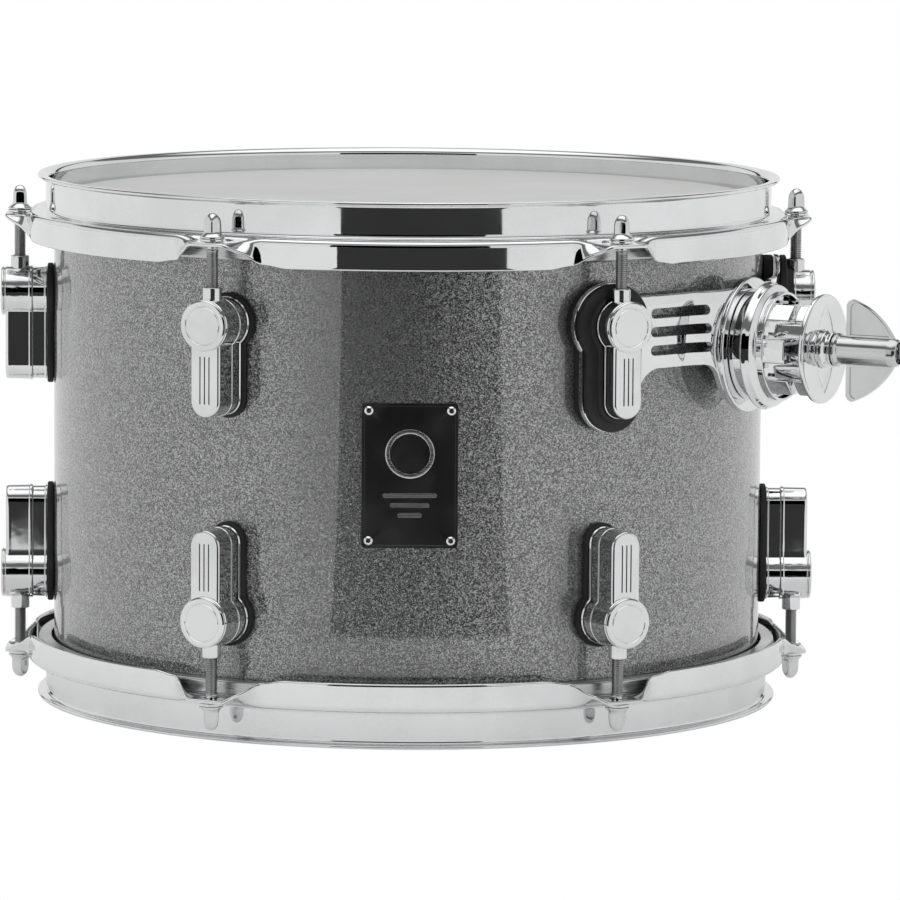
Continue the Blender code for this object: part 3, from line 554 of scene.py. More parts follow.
hoopLook = inMetres(sheet=1.6, inner=152.6, lip=157.7, lipTop=9.0, lipBend=2.0, flange=-6.4, flangeBend=2.6,
                    dropStart=158.0, drop=2.0, bendStart=159.9, bendLength=2.1, skirtLength=12.11,
                    earLength=11.8, twistCut=3.4, cornerCut=1.3, rodHole=3.2)
earDegrees = {"flat": 2.4, "end": 7.3, "cornerEnd": 11.0}  # either side of a rod


def eased(x, low, high):
    x = np.clip((x - low) / (high - low), 0, 1)
    return x * x * (3 - 2 * x)


def hoopLine(azimuths):
    # middle line (r, h): lip, arc, wall, arc, flange, a drop that fades with azimuth, then a bend of
    # angle blend * 90 degrees
    p = hoopLook
    half, count = p["sheet"] / 2, len(azimuths)
    away = np.abs((azimuths[:, None] - np.array(lugAngles) + math.pi) % (2 * math.pi) - math.pi)
    away = np.degrees(away.min(axis=1))
    blend = eased(away, earDegrees["flat"], earDegrees["end"])[:, None]
    corner = eased(away, earDegrees["end"], earDegrees["cornerEnd"])[:, None]
    length = p["earLength"] + blend * (p["skirtLength"] - p["earLength"])
    length = length - p["twistCut"] * 4 * blend * (1 - blend) - p["cornerCut"] * blend * (1 - corner) - half
    wall, lipLevel, level = p["inner"] + half, p["lipTop"] - half, p["flange"] - half
    rb, fb = p["lipBend"], p["flangeBend"]
    a = np.linspace(0, math.pi / 2, 9)
    lip = np.array([[p["lip"] - half, lipLevel], [p["lip"] - half - 0.5 * mm, lipLevel]])
    lipArc = np.stack([wall + rb - rb * np.sin(a), lipLevel - rb + rb * np.cos(a)], 1)
    walls = np.array([[wall, z] for z in np.linspace(lipLevel - rb - 0.4 * mm, level + fb + 0.4 * mm, 5)])
    flangeArc = np.stack([wall + fb - fb * np.cos(a), level + fb - fb * np.sin(a)], 1)
    fixed = np.concatenate([lip, lipArc, walls, flangeArc, [[p["dropStart"] - 0.8 * mm, level]]])
    share = np.linspace(0, 1, 7)[None, :-1]
    dropR = p["dropStart"] + share * (p["bendStart"] - p["dropStart"]) + 0 * blend
    dropH = level - (1 - blend) * p["drop"] * share ** 2 * (3 - 2 * share)
    s = np.concatenate([np.linspace(0, 1, 9), [1.06, 1.3, 1.6, 1.94, 2]])[None, :]
    run = np.where(s <= 1, s * p["bendLength"], p["bendLength"] + (s - 1) * (length - p["bendLength"]))
    bend = np.maximum(blend * math.pi / 2, 1e-4)
    angle = bend * np.minimum(run / p["bendLength"], 1)
    past = np.maximum(run - p["bendLength"], 0)
    radius = p["bendStart"] + np.sin(angle) / bend * p["bendLength"] + past * np.cos(angle)
    height = level - (1 - blend) * p["drop"]
    height = height - (1 - np.cos(angle)) / bend * p["bendLength"] - past * np.sin(angle)
    r = np.concatenate([np.broadcast_to(fixed[:, 0], (count, len(fixed))), dropR, radius], axis=1)
    h = np.concatenate([np.broadcast_to(fixed[:, 1], (count, len(fixed))), dropH, height], axis=1)
    return r, h


def hoopRings(azimuths):
    # the skins stand half a sheet off the middle line along its normal, and the edges are half rounds
    half = hoopLook["sheet"] / 2
    r, h = hoopLine(azimuths)
    dirR, dirH = np.gradient(r, axis=1), np.gradient(h, axis=1)
    size = np.hypot(dirR, dirH)
    dirR, dirH = dirR / size, dirH / size
    normR, normH = -dirH, dirR
    c = np.linspace(0, math.pi, 7)[1:-1]

    def section(line, norm, along):
        up, down = line + norm * half, line - norm * half
        end = line[:, -1:] + half * (np.cos(c) * norm[:, -1:] + np.sin(c) * along[:, -1:])
        start = line[:, :1] + half * (-np.cos(c) * norm[:, :1] - np.sin(c) * along[:, :1])
        return np.concatenate([up, end, down[:, ::-1], start], axis=1)

    ringR, ringH = section(r, normR, dirR), section(h, normH, dirH)
    return np.stack([ringR * np.sin(azimuths)[:, None], -ringR * np.cos(azimuths)[:, None], ringH], axis=-1)


def makeHoops():
    near = np.radians(np.linspace(-11, 11, 45))
    far = np.radians(np.linspace(11, 49, 27)[1:-1])
    azimuths = np.concatenate([a + np.concatenate([near, far]) for a in lugAngles])
    rings = hoopRings(azimuths)
    hoop = meshFrom("hoop", rings, gridQuads(len(azimuths), rings.shape[1], wrapRows=True))
    hole = [(0, -12 * mm), (hoopLook["rodHole"], -12 * mm), (hoopLook["rodHole"], 0), (0, 0)]
    holes = [turned("rodHole", hole, 32, onRodCircle(np.eye(4), a)) for a in lugAngles]
    hoop = cutMesh(hoop, [("DIFFERENCE", tool) for tool in holes])
    for side in ("batter", "resonant"):
        addPiece(side + "Hoop", hoop, chrome, side + "_rim", [side + "_hoop"],
                 placeEnd(side == "batter"), sharp=40)


rodLook = inMetres(circle=165.3, radius=2.5, pitch=0.8, thread=0.36, end=-45.8, threadTop=-11.5, seat=-8.1,
                   washer=5.1, washerHole=2.9, washerThick=1.15, square=2.95)
makeHoops()
print("hoops made")


# ---- tension rods

def rodSections():
    # millimetres above the seat, half width in millimetres, and squareness; exponent 2 is round
    below, sq = (rodLook["threadTop"] - rodLook["seat"]) / mm + 0.6, rodLook["square"] / mm
    shape = [(below, 2.36, 2), (-1.0, 2.36, 2), (1.2, 2.36, 2), (1.25, 4.75, 2), (1.4, 5.0, 2), (1.9, 5.0, 2),
             (2.15, 4.8, 2), (2.5, 4.2, 2), (2.9, 3.9, 2.2), (3.5, sq * 1.06, 3.5), (4.3, sq, 5.5),
             (6.4, sq * 0.98, 6), (8.2, sq * 0.95, 5), (9.4, sq * 0.86, 3.6), (10.3, sq * 0.72, 2.8),
             (10.9, sq * 0.54, 2.4), (11.25, sq * 0.34, 2.1), (11.4, sq * 0.12, 2)]
    return np.array(shape) * (mm, mm, 1) + (rodLook["seat"], 0, 0)


def rodPoints(turn):
    # r(t, h) = radius - depth * ridge(h / pitch - t / 2 pi) on the thread, then superellipse sections
    p = rodLook
    t = np.linspace(0, 2 * math.pi, 28, endpoint=False)[None, :]
    h = np.arange(p["end"], p["threadTop"], p["pitch"] / 7)[:, None]
    phase = np.mod(h / p["pitch"] - t / (2 * math.pi), 1)
    ridge = np.clip(np.abs(2 * phase - 1) * 1.35 - 0.12, 0, 1)
    depth = p["thread"] * np.clip((p["threadTop"] - h) / (1.2 * mm), 0, 1)
    start = np.clip((h - p["end"]) / (0.9 * mm), 0, 1)
    r = (p["radius"] - depth * ridge) * (0.8 + 0.2 * start)
    low = np.stack([r * np.cos(t), r * np.sin(t), h + 0 * r], axis=-1)
    level, wide, power = (column[:, None] for column in rodSections().T)
    r = wide * (np.abs(np.cos(t)) ** power + np.abs(np.sin(t)) ** power) ** (-1 / power)
    high = np.stack([r * np.cos(t + turn), r * np.sin(t + turn), level + 0 * r], axis=-1)
    return low, high


def makeRods():
    p = rodLook
    inner, outer, thick = p["washerHole"] / mm, p["washer"] / mm, p["washerThick"] / mm
    washer = milled([(inner, 0), (outer, 0), (outer, thick), (inner, thick)], 0.32, 0.1, steps=4)
    washer = turned("rodWasher", washer + (0, p["seat"]), 48)
    number = 0
    for side in ("batter", "resonant"):
        for i, angle in enumerate(lugAngles, 1):
            number += 1
            place = onRodCircle(placeEnd(side == "batter"), angle)
            low, high = rodPoints(math.radians(17 + 37 * number))  # each key stops at its own turn
            body = f"{side}_rod_{i}"
            shank, key = stacked("rodShank", low), stacked("rodKey", high)
            addPiece(f"{side}RodThread{i}", shank, rodSteel, body, [body], place, sharp=80)
            addPiece(f"{side}RodHead{i}", key, brightKey, body, (), place, sharp=50)
            addPiece(f"{side}RodWasher{i}", washer, chrome, body, (), place)


makeRods()
print("rods made")


# ---- lugs and their rubber

lugLook = inMetres(level=41.8, round=10.75, half=7.0, stem=30.85, base=153.8, face=171.3, capFace=173.2,
                   plateBase=160.0, sleeve=3.9, reach=15.2, bore=2.75, grooves=(-2.1, 0.0, 2.1))
padWaist = 12 * mm  # fillet where a plate pad's round end meets its stem


def keyholeRing(growth, fillet=0.5 * mm, headSteps=44, legSteps=10, tipSteps=24):
    # round end about the origin, stem up +y with a half-round tip, all offset outwards by growth
    radius, half = lugLook["round"] + growth, lugLook["half"] + growth
    f = max(fillet - growth, 0.05 * mm)
    fy = math.sqrt((radius + f) ** 2 - (half + f) ** 2)
    lean = math.atan2(half + f, fy)
    a = np.linspace(math.pi / 2 + lean, math.pi * 2.5 - lean, headSteps)
    head = radius * np.stack([np.cos(a), np.sin(a)], 1)
    b = np.linspace(-math.pi / 2 - lean, -math.pi, 6)[1:]
    right = np.stack([half + f + f * np.cos(b), fy + f * np.sin(b)], 1)
    rise = np.linspace(0, 1, legSteps)[1:-1, None]
    legUp = np.array([half, fy]) * (1 - rise) + np.array([half, lugLook["stem"]]) * rise
    c = np.linspace(0, math.pi, tipSteps)
    tip = np.array([0, lugLook["stem"]]) + half * np.stack([np.cos(c), np.sin(c)], 1)
    legDown = (legUp * np.array([-1, 1]))[::-1]
    left = (right * np.array([-1, 1]))[::-1]
    return np.concatenate([head, right, legUp, tip, legDown, left])


def flatOut(ring, out):
    return np.concatenate([ring, np.full((len(ring), 1), out)], axis=1)


def bentOut(ring, radius):
    # a flat ring of points wrapped on a cylinder about the drum's axis
    angle = ring[:, 0] / radius
    return np.stack([radius * np.sin(angle), ring[:, 1], radius * np.cos(angle)], 1)


def padRings(wrap, fillet, pairs):
    # a keyhole ring for each (growth, level) in millimetres, laid flat or bent round the shell
    return [wrap(keyholeRing(growth * mm, fillet), level * mm) for growth, level in pairs]


def lugMesh(base):
    p = lugLook
    ridge = base + 6.0 * mm if base < 156 * mm else base + 3.2 * mm
    corners = [(-0.1 * mm, base), (-0.1 * mm, base + 0.5 * mm), (-0.5 * mm, base + 0.9 * mm),
               (-0.55 * mm, ridge), (0.1 * mm, ridge + 0.05 * mm), (0.1 * mm, ridge + 1.3 * mm),
               (-0.2 * mm, ridge + 1.5 * mm),
               (-0.35 * mm, p["face"] - 2.4 * mm), (-0.35 * mm, p["face"]), (-3.2 * mm, p["face"])]
    profile = held(filleted(corners, np.array([0, 0.2, 0.3, 0.3, 0.3, 0.3, 0.3, 1, 2.2, 0]) * mm, 5))
    body = stacked("lugBody", [flatOut(keyholeRing(growth), out) for growth, out in profile])
    lay = np.array([[1, 0, 0, 0], [0, 0, -1, 0], [0, 1, 0, rodLook["circle"]], [0, 0, 0, 1]], float)
    wide, end, bore = p["sleeve"] / mm, p["reach"] / mm, p["bore"] / mm
    collar = milled([(0, 0), (wide, 0), (wide, end), (2.9, end), (2.9, end - 2), (0, end - 2)],
                    [0, 0, 0.5, 0.4, 0, 0], 0.3, closed=False, steps=4)
    tool = np.array([(0, -5.5), (bore, -5.5), (bore, end + 2), (0, end + 2)]) * mm
    steps = [("UNION", turned("lugCap", capProfile(), 72)), ("UNION", turned("lugSleeve", collar, 48, lay)),
             ("DIFFERENCE", turned("lugBore", tool, 32, lay))]
    return cutMesh(body, steps + [("DIFFERENCE", grooveMesh(x)) for x in p["grooves"]])


def capProfile():
    # disc with a waist under its rim and a fine ring pressed into its face
    face, low = lugLook["capFace"] / mm, lugLook["face"] / mm
    corners = [(0, low - 6), (10.45, low - 6), (10.45, low - 0.1), (10.1, low + 0.25), (10.1, low + 0.6),
               (10.4, low + 0.75), (10.4, face - 0.5), (9.7, face), (8.1, face), (7.9, face - 0.22),
               (7.6, face - 0.22), (7.4, face), (0, face)]
    radii = [0, 0, 0.2, 0.1, 0.1, 0.2, 0.35, 0.3, 0.08, 0.05, 0.05, 0.08, 0]
    return milled(corners, radii, 0.2, closed=False, steps=4)


def grooveMesh(x):
    # round-ended bar lying in the stem's face
    half, low, high = 0.32 * mm, 12.9 * mm, 31.8 * mm
    t = np.linspace(0, math.pi, 9)
    ring = np.concatenate([np.stack([x + half * np.cos(t), high + half * np.sin(t)], 1),
                           np.stack([x - half * np.cos(t), low - half * np.sin(t)], 1)])
    return stacked("lugGroove", [flatOut(ring, lugLook["face"] + z) for z in (-0.45 * mm, 1 * mm)])


def gasketMesh():
    # back follows the shell, front is flat; the edge between is a half round
    back = padRings(bentOut, 1 * mm, [(-5.5, 151.05), (-3, 151.05), (0, 151.05), (0.75, 151.05), (1.15, 151.3),
                                      (1.25, 151.9)])
    front = padRings(flatOut, 1 * mm, [(1.25, 152.9), (1.1, 153.3), (0.75, 153.55), (0.2, 153.6), (-3, 153.6)])
    return stacked("gasket", back + front)


def innerPadMesh():
    rings = [(-5.5, 151.05), (-2, 151.05), (1, 151.05), (5.4, 151.05), (5.85, 151.3), (6, 151.9), (6, 154.6),
             (5.85, 155.2), (5.4, 155.45), (1, 155.45), (-2, 155.45), (-5.5, 155.45)]
    return stacked("innerPad", padRings(bentOut, padWaist, rings))


def outerPadMesh():
    # flat rubber flange, a raised collar round the lug's foot, and the pocket the lug stands in;
    # the collar dips where the sleeve passes over it
    rings = padRings(bentOut, padWaist, [(-5.5, 158.45), (-2, 158.45), (1, 158.45), (5.4, 158.45), (5.85, 158.7),
                                         (6, 159.1)])
    profile = milled([(6, 159.6), (6, 161.0), (2.3, 161.15), (1.95, 163.9), (0.35, 163.9), (0.25, 159.8),
                      (-3, 159.8)], [0, 1.1, 0.5, 0.5, 0.3, 0.2, 0], closed=False)
    for growth, out in profile:
        ring = keyholeRing(growth, padWaist if growth > 1.5 * mm else 2 * mm)
        near = np.clip((6.5 * mm - np.abs(ring[:, 0])) / (2 * mm), 0, 1) * (ring[:, 1] < -6 * mm)
        level = out - near * max(out - 161.1 * mm, 0)
        rings.append(np.concatenate([ring, level[:, None]], axis=1))
    return stacked("outerPad", rings)


def makeLugs():
    common, onPlate = lugMesh(lugLook["base"]), lugMesh(lugLook["plateBase"])
    gasket, innerPad, outerPad = gasketMesh(), innerPadMesh(), outerPadMesh()
    for side in ("batter", "resonant"):
        upper = side == "batter"
        height = upperFace - lugLook["level"] if upper else lowerFace + lugLook["level"]
        for i, angle in enumerate(lugAngles, 1):
            place = placeOut(angle, height, stemDown=upper)
            plateLug = upper and i in plateLugs
            addPiece(f"{side}Lug{i}", onPlate if plateLug else common, castChrome, "root",
                     [f"{side}_lug_{i}"], place)
            if plateLug:
                addPiece(f"innerPad{i}", innerPad, rubber, "root", [f"mount_inner_pad_{i}"], place)
                addPiece(f"outerPad{i}", outerPad, rubber, "root", [f"mount_outer_pad_{i}"], place)
            else:
                addPiece(f"{side}Gasket{i}", gasket, rubber, "root", [f"{side}_gasket_{i}"], place)


makeLugs()
print("lugs and rubber made")


# ---- badge

badgeLook = inMetres(half=19.6, tall=29.5, corner=1.5, back=151.1, face=151.9, inset=3.0, ringHeight=9.0)
badgeAngle = math.radians(-1)
emblemBars = ((11, -8), (8, -12), (5, -16))  # half width and height of each, in millimetres


def makeBadge():
    # rounded rectangle shrunk a little at both faces and wrapped on the shell; emblem is a ring and three bars
    p = badgeLook
    place = placeOut(badgeAngle, midHeight)
    half, tall, back, face = p["half"], p["tall"], p["back"], p["face"]

    def outline(growth):
        x, y = half + growth, tall + growth
        return held(filleted([(-x, -y), (x, -y), (x, y), (-x, y)], p["corner"], 6, True), 3 * mm, True)

    levels = [(-8 * mm, back), (-0.1 * mm, back), (0, back + 0.1 * mm), (0, face - 0.15 * mm),
              (-0.15 * mm, face), (-1.1 * mm, face), (-1.25 * mm, face - 0.12 * mm), (-8 * mm, face - 0.12 * mm)]
    plate = stacked("badgePlate", [bentOut(outline(growth), out) for growth, out in levels])
    addPiece("badgePlate", plate, badgeBlack, "root", ["badge"], place)
    t = np.linspace(0, 2 * math.pi, 72, endpoint=False)
    low, top = face - 0.15 * mm, face + 0.1 * mm
    rings = [(10, low), (10, top - 0.05 * mm), (9.9, top), (8.3, top), (8.2, top - 0.05 * mm), (8.2, low)]
    circle = np.stack([np.cos(t), np.sin(t)], 1)
    rings = [bentOut(circle * r * mm + (0, p["ringHeight"]), out) for r, out in rings]
    addPiece("emblemRing", stacked("emblemRing", rings, True), emblemMetal, "root", (), place)
    for i, (wide, y) in enumerate(emblemBars, 1):
        bar = milled([(-wide, y - 1), (wide, y - 1), (wide, y + 1), (-wide, y + 1)], 0.9)
        bar = stacked("emblemBar", [bentOut(bar, low), bentOut(bar, top)])
        addPiece(f"emblemBar{i}", bar, emblemMetal, "root", (), place)
    seat = face / mm + 0.25
    dome = [(0, seat - 0.5), (1.85, seat - 0.5), (1.85, seat + 0.3), (1.11, seat + 0.85), (0, seat + 0.9)]
    dome = milled(dome, [0, 0, 0.3, 0.6, 0], 0.2, closed=False)
    for i, (z, x) in enumerate(((1, -1), (1, 1), (-1, -1), (-1, 1)), 1):
        at = placeOut(badgeAngle + x * (half - p["inset"]) / back, midHeight + z * (tall - p["inset"]))
        rivet = turned("badgeRivet", dome, 40, at)
        addPiece(f"badgeRivet{i}", rivet, chrome, "root", [f"badge_rivet_{i}"])


makeBadge()
print("badge made")


# ---- mount plate

plateLook = inMetres(back=155.7, front=158.2, top=24.3, bottom=-5.8, boss=28.0, bossFace=162.6, round=17.15,
                     stem=13.4, edge=0.7, pitch=7.6, slotIn=31.6, slotOut=59.4, slotHalf=2.1, topFillet=8.0,
                     lowFillet=9.0, footSweep=12.0, flare=4.1, flareOut=43.0, flareIn=28.0)
plateLugX = math.radians(30) * plateLook["back"]
clampPlace = placeOut(clampAngle, clampHeight)


def bossFillet(x, level, f):
    # rise over the strip's edge beside the boss: f - sqrt(f^2 - (reach - |x|)^2), from the tangent point out
    boss = plateLook["boss"]
    reach = math.sqrt((boss + f) ** 2 - (level + f) ** 2)
    rise = f - np.sqrt(np.clip(f ** 2 - np.clip(reach - x, 0, f) ** 2, 0, None))
    return rise * (x >= reach * boss / (boss + f))


def plateEdges(x):
    # top(x) and bottom(x): the outermost of the strip, the boss and the lug's round end and stem
    p = plateLook
    lugY = upperFace - lugLook["level"] - clampHeight
    ax = np.abs(x)
    dx, inside = np.abs(ax - plateLugX), ax < plateLugX
    boss, cap, foot = (np.sqrt(np.clip(r ** 2 - d ** 2, 0, None))
                       for r, d in ((p["boss"], x), (p["round"], dx), (p["stem"], dx)))
    rise, fall = bossFillet(ax, p["top"], p["topFillet"]), bossFillet(ax, -p["bottom"], p["lowFillet"])
    f = p["footSweep"]
    sweep = f - np.sqrt(f ** 2 - np.clip(ax - (plateLugX - p["stem"] - f), 0, f) ** 2)
    top = np.maximum(np.where(inside, p["top"] + rise, -1), np.where(dx <= p["round"], lugY + cap, -1))
    top = np.maximum(top, boss * (ax < p["boss"]))
    low = np.where(inside, p["bottom"] - fall - sweep, 1)
    low = np.where((dx < p["round"]) & ~inside, lugY - cap, low)
    low = np.where(dx < p["stem"], lugY - lugLook["stem"] - foot, low)
    return top, np.where(ax < p["boss"], np.minimum(low, -boss), low)


def slotTool(mid, sign):
    # round-ended slot on one side of the boss, between two cylinders about the drum's axis
    p = plateLook
    t = np.linspace(-math.pi / 2, math.pi / 2, 13)
    turn = p["slotHalf"] * np.stack([np.cos(t), np.sin(t)], 1)
    far, near = turn + (p["slotOut"], mid), (p["slotIn"], mid) - turn
    between = np.linspace(0, 1, 12)[1:-1, None]
    ring = np.concatenate([far, far[-1] + between * (near[0] - far[-1]), near,
                           near[-1] + between * (far[0] - near[-1])])
    angle = sign * ring[:, 0] / p["back"]
    return stacked("slot", [np.stack([out * np.sin(angle), ring[:, 1], out * np.cos(angle)], 1)
                            for out in (152 * mm, 166.5 * mm)])


def plateSheet():
    # a grid closed round its section, bent round the shell, that flares up towards the boss
    p = plateLook
    end = plateLugX + p["round"]
    marks = np.array([plateLugX - p["stem"], plateLugX + p["stem"]])
    x = np.concatenate([np.linspace(0, plateLugX - p["round"], 60),
                        plateLugX - p["round"] * np.cos(np.linspace(0, math.pi, 90)),
                        marks - 0.01 * mm, marks + 0.01 * mm])
    x = np.unique(np.round(np.clip(x, 0, end - 0.005 * mm), 8))
    x = np.concatenate([-x[:0:-1], x])
    top, low = plateEdges(x)
    e = np.minimum(p["edge"], 0.49 * (top - low))[:, None]
    a = np.linspace(0, math.pi / 2, 4)[None, :]
    top, low = top[:, None], low[:, None]
    face = low + e + np.linspace(0, 1, 7)[None, 1:-1] * (top - low - 2 * e)
    y = [low + e - e * np.cos(a), face, top - e + e * np.sin(a), top, face[:, ::-1], low]
    y = np.concatenate(y, axis=1)
    r = np.concatenate([p["front"] - e + e * np.sin(a), p["front"] + 0 * face, p["front"] - e + e * np.cos(a),
                        p["back"] + 0 * e, p["back"] + 0 * face, p["back"] + 0 * e], axis=1)
    angle = (x / p["back"])[:, None]
    lift = p["flare"] * eased(-np.hypot(x[:, None], y), -p["flareOut"], -p["flareIn"])
    return stacked("plate", np.stack([r * np.sin(angle), y, r * np.cos(angle) + lift], axis=-1))


def makePlate():
    p = plateLook
    rim, face = p["boss"] / mm, p["bossFace"] / mm
    boss = milled([(0, 154.6), (19, 154.6), (27, 159.6), (rim, 160.2), (rim, face), (0, face)],
                  [0, 1, 1, 0.3, 0.9, 0], 0.4, closed=False, steps=6)
    bore = np.array([(0, 150), (4.5, 150), (4.5, 170), (0, 170)]) * mm
    steps = [("UNION", turned("plateBoss", boss, 160)), ("DIFFERENCE", turned("bore", bore, 40))]
    for row in (-1, 0, 1):
        mid = (p["top"] + p["bottom"]) / 2 + row * p["pitch"]
        steps += [("DIFFERENCE", slotTool(mid, sign)) for sign in (-1, 1)]
    addPiece("mountPlate", cutMesh(plateSheet(), steps), chrome, "root", ["mount_plate"], clampPlace,
             sharp=30)


makePlate()
print("mount plate made")


# ---- arm clamp

clampLook = inMetres(finger=22.2, inner=6.2, arm=5.25, offset=10.0, centre=184.5, half=4.4, start=4.8,
                     baseRoot=172.5, baseEnd=187.5, jawEnd=182.0, blockEnd=190.3, rimRoot=194.7, jawRoot=193.9,
                     jawFace=196.0, lensTall=18.5, lensWide=8.5, lensDeep=1.5, threadPitch=1.25,
                     baseRows=[(-4.95, 4.95), (12.05, 18.5), (-18.5, -12.05)],
                     jawRows=[(5.75, 11.25), (-11.25, -5.75)])


def sideFinger(low, high, start, end, tip):
    # outline whose outer edge is x = -sqrt(finger^2 - y^2); the tip's rings shrink to round it
    p = clampLook
    y = np.linspace(low, high, 7)
    outer = np.stack([-np.sqrt(p["finger"] ** 2 - y ** 2), y], 1)
    outline = np.concatenate([outer, [(-p["inner"], high), (-p["inner"], low)]])
    outline = filleted(outline, [0.6 * mm] + [0] * 5 + [0.6 * mm] * 3, 4, True)
    middle = outline.mean(axis=0)
    away = 1 if end > start else -1
    rings = [flatOut(outline, start)]
    for a in np.linspace(0, math.pi / 2, 5):
        shrink = 1 - tip * (1 - math.cos(a)) / np.abs(outline - middle).max()
        rings.append(flatOut(middle + (outline - middle) * shrink, end - away * tip * (1 - math.sin(a))))
    return stacked("finger", rings)


def veeFinger(low, high, root, face, apex):
    # block whose seat for the arm is a right-angled vee with its apex towards the block's root
    p = clampLook
    edge = max(abs(low), abs(high))
    reach = min(math.sqrt(p["finger"] ** 2 - edge ** 2) - 0.1 * mm, 19 * mm)
    left, right = p["offset"] - p["half"], p["offset"] + p["half"]
    if reach > right:
        seat = [(reach, face), (right, face), (p["offset"], apex), (left, face)]
    else:
        side = (reach - p["offset"]) / p["half"]
        seat = [(reach, apex + side * (face - apex)), (p["offset"], apex), (left, face)]
    outline = filleted([(p["start"], root), (reach, root)] + seat + [(p["start"], face)],
                       [0, 0] + [0.35 * mm] * (len(seat) + 1), 4, True)
    across, out = outline.T
    return stacked("vee", [np.stack([across, 0 * across + y, out], 1) for y in (low, high)])


def makeClampBase():
    p = clampLook
    apex = p["centre"] - p["arm"] * math.sqrt(2)
    section = milled([(4.5, 162.9), (23.2, 162.9), (23.2, 169.2), (26.0, 169.2), (26.7, 169.8), (25.8, 171.4),
                      (25.3, 173.0), (22.6, 174.6), (22.6, 177.8), (21.4, 177.8), (21.4, 174.5), (4.5, 174.5)],
                     [0, 0.3, 0.5, 0.5, 0.7, 1.2, 0.7, 0.6, 0.4, 0.4, 0.8, 0], 0.25)
    steps = []
    for low, high in p["baseRows"]:
        steps.append(("UNION", sideFinger(low, high, p["baseRoot"], p["baseEnd"], 0.7 * mm)))
        steps.append(("UNION", veeFinger(low, high, p["baseRoot"], apex + p["half"], apex)))
    addPiece("clampBase", cutMesh(turned("clampBase", section, 160), steps), chrome, "root",
             ["clamp_base"], clampPlace, sharp=30)


def lensTool():
    # two arcs meeting in points; at share k of the outline the bowl is deep * sqrt(1 - k^2) below the face
    p = clampLook
    tall, wide, face = p["lensTall"], p["lensWide"], p["jawFace"]
    radius = (tall ** 2 + wide ** 2) / (2 * wide)
    a = math.asin(tall / radius)
    t = np.linspace(-a, a, 40)[:-1]
    right = np.stack([radius * np.cos(t) - (radius - wide), radius * np.sin(t)], 1)
    lens = np.concatenate([right, -right])
    rings = [flatOut(lens * k, face - p["lensDeep"] * math.sqrt(1 - k * k))
             for k in (0.02, 0.25, 0.45, 0.62, 0.76, 0.88, 0.95, 0.985, 0.999)]
    return stacked("lens", rings + [flatOut(lens, face + 0.05 * mm), flatOut(lens * 1.001, face + 1 * mm)])


def makeJaw():
    # disc with a bevelled back and the washer's pocket
    p = clampLook
    apex = p["centre"] + p["arm"] * math.sqrt(2)
    section = milled([(4.5, 193.0), (19.7, 193.0), (22.7, 194.3), (22.7, 196.0), (8.1, 196.0), (8.1, 194.0),
                      (4.5, 194.0)], [0, 1, 0.4, 0.8, 0.3, 0.1, 0], 0.25)
    steps = []
    for low, high in p["jawRows"]:
        steps.append(("UNION", sideFinger(low, high, p["rimRoot"], p["jawEnd"], 1.6 * mm)))
        steps.append(("UNION", veeFinger(low, high, p["jawRoot"], apex - p["half"], apex)))
    for low, high in p["baseRows"][1:]:
        steps.append(("UNION", sideFinger(low, high, p["rimRoot"], p["blockEnd"], 0.5 * mm)))
    steps.append(("DIFFERENCE", lensTool()))
    addPiece("clampJaw", cutMesh(turned("clampJaw", section, 160), steps), chrome, "clamp_jaw",
             ["clamp_jaw"], clampPlace, sharp=30)


def makeStud():
    # ridges of height 0.5 (1 - |2 phase - 1|) along the thread, with the wide head behind the plate
    pitch = clampLook["threadPitch"]
    z = np.arange(176 * mm, 227 * mm, pitch / 4)
    ridge = 3.95 * mm - 0.5 * mm * np.abs(2 * np.mod(z / pitch, 1) - 1)
    head = [(0, 151.1), (8.6, 151.1), (9.0, 151.5), (9.0, 153.9), (8.6, 154.3), (4.0, 154.3), (4.0, 175.8)]
    tip = np.array([(3.0, 227.6), (0, 227.6)]) * mm
    profile = np.concatenate([np.array(head) * mm, np.stack([ridge, z], 1), tip])
    addPiece("clampStud", turned("clampStud", profile, 48, clampPlace), rodSteel, "root",
             ["clamp_stud"])


def makeWasher():
    section = milled([(4.5, 194.3), (7.8, 194.3), (7.8, 197.2), (6.6, 198.4), (6.6, 199.6), (7.6, 200.2),
                      (7.4, 200.7), (4.5, 200.7)], [0.1, 0.4, 0.6, 0.6, 0.4, 0.2, 0.2, 0.1], 0.2)
    addPiece("clampWasher", turned("clampWasher", section, 96, clampPlace), chrome, "clamp_jaw",
             ["clamp_washer"])


def wingOutline():
    # straight back edge, then the chord from tip to hub bowed out by 4 t (1 - t) bow
    start, end = np.array([208.6, 21.2]) * mm, np.array([227.5, 5.0]) * mm
    line = end - start
    bow = np.array([-line[1], line[0]]) / np.linalg.norm(line) * 2.3 * mm
    t = np.linspace(0, 1, 24)[:, None]
    back = np.array([(206.0, 5.0), (206.0, 18.8), (206.9, 20.4)]) * mm
    return np.concatenate([back, start + t * line + 4 * t * (1 - t) * bow])


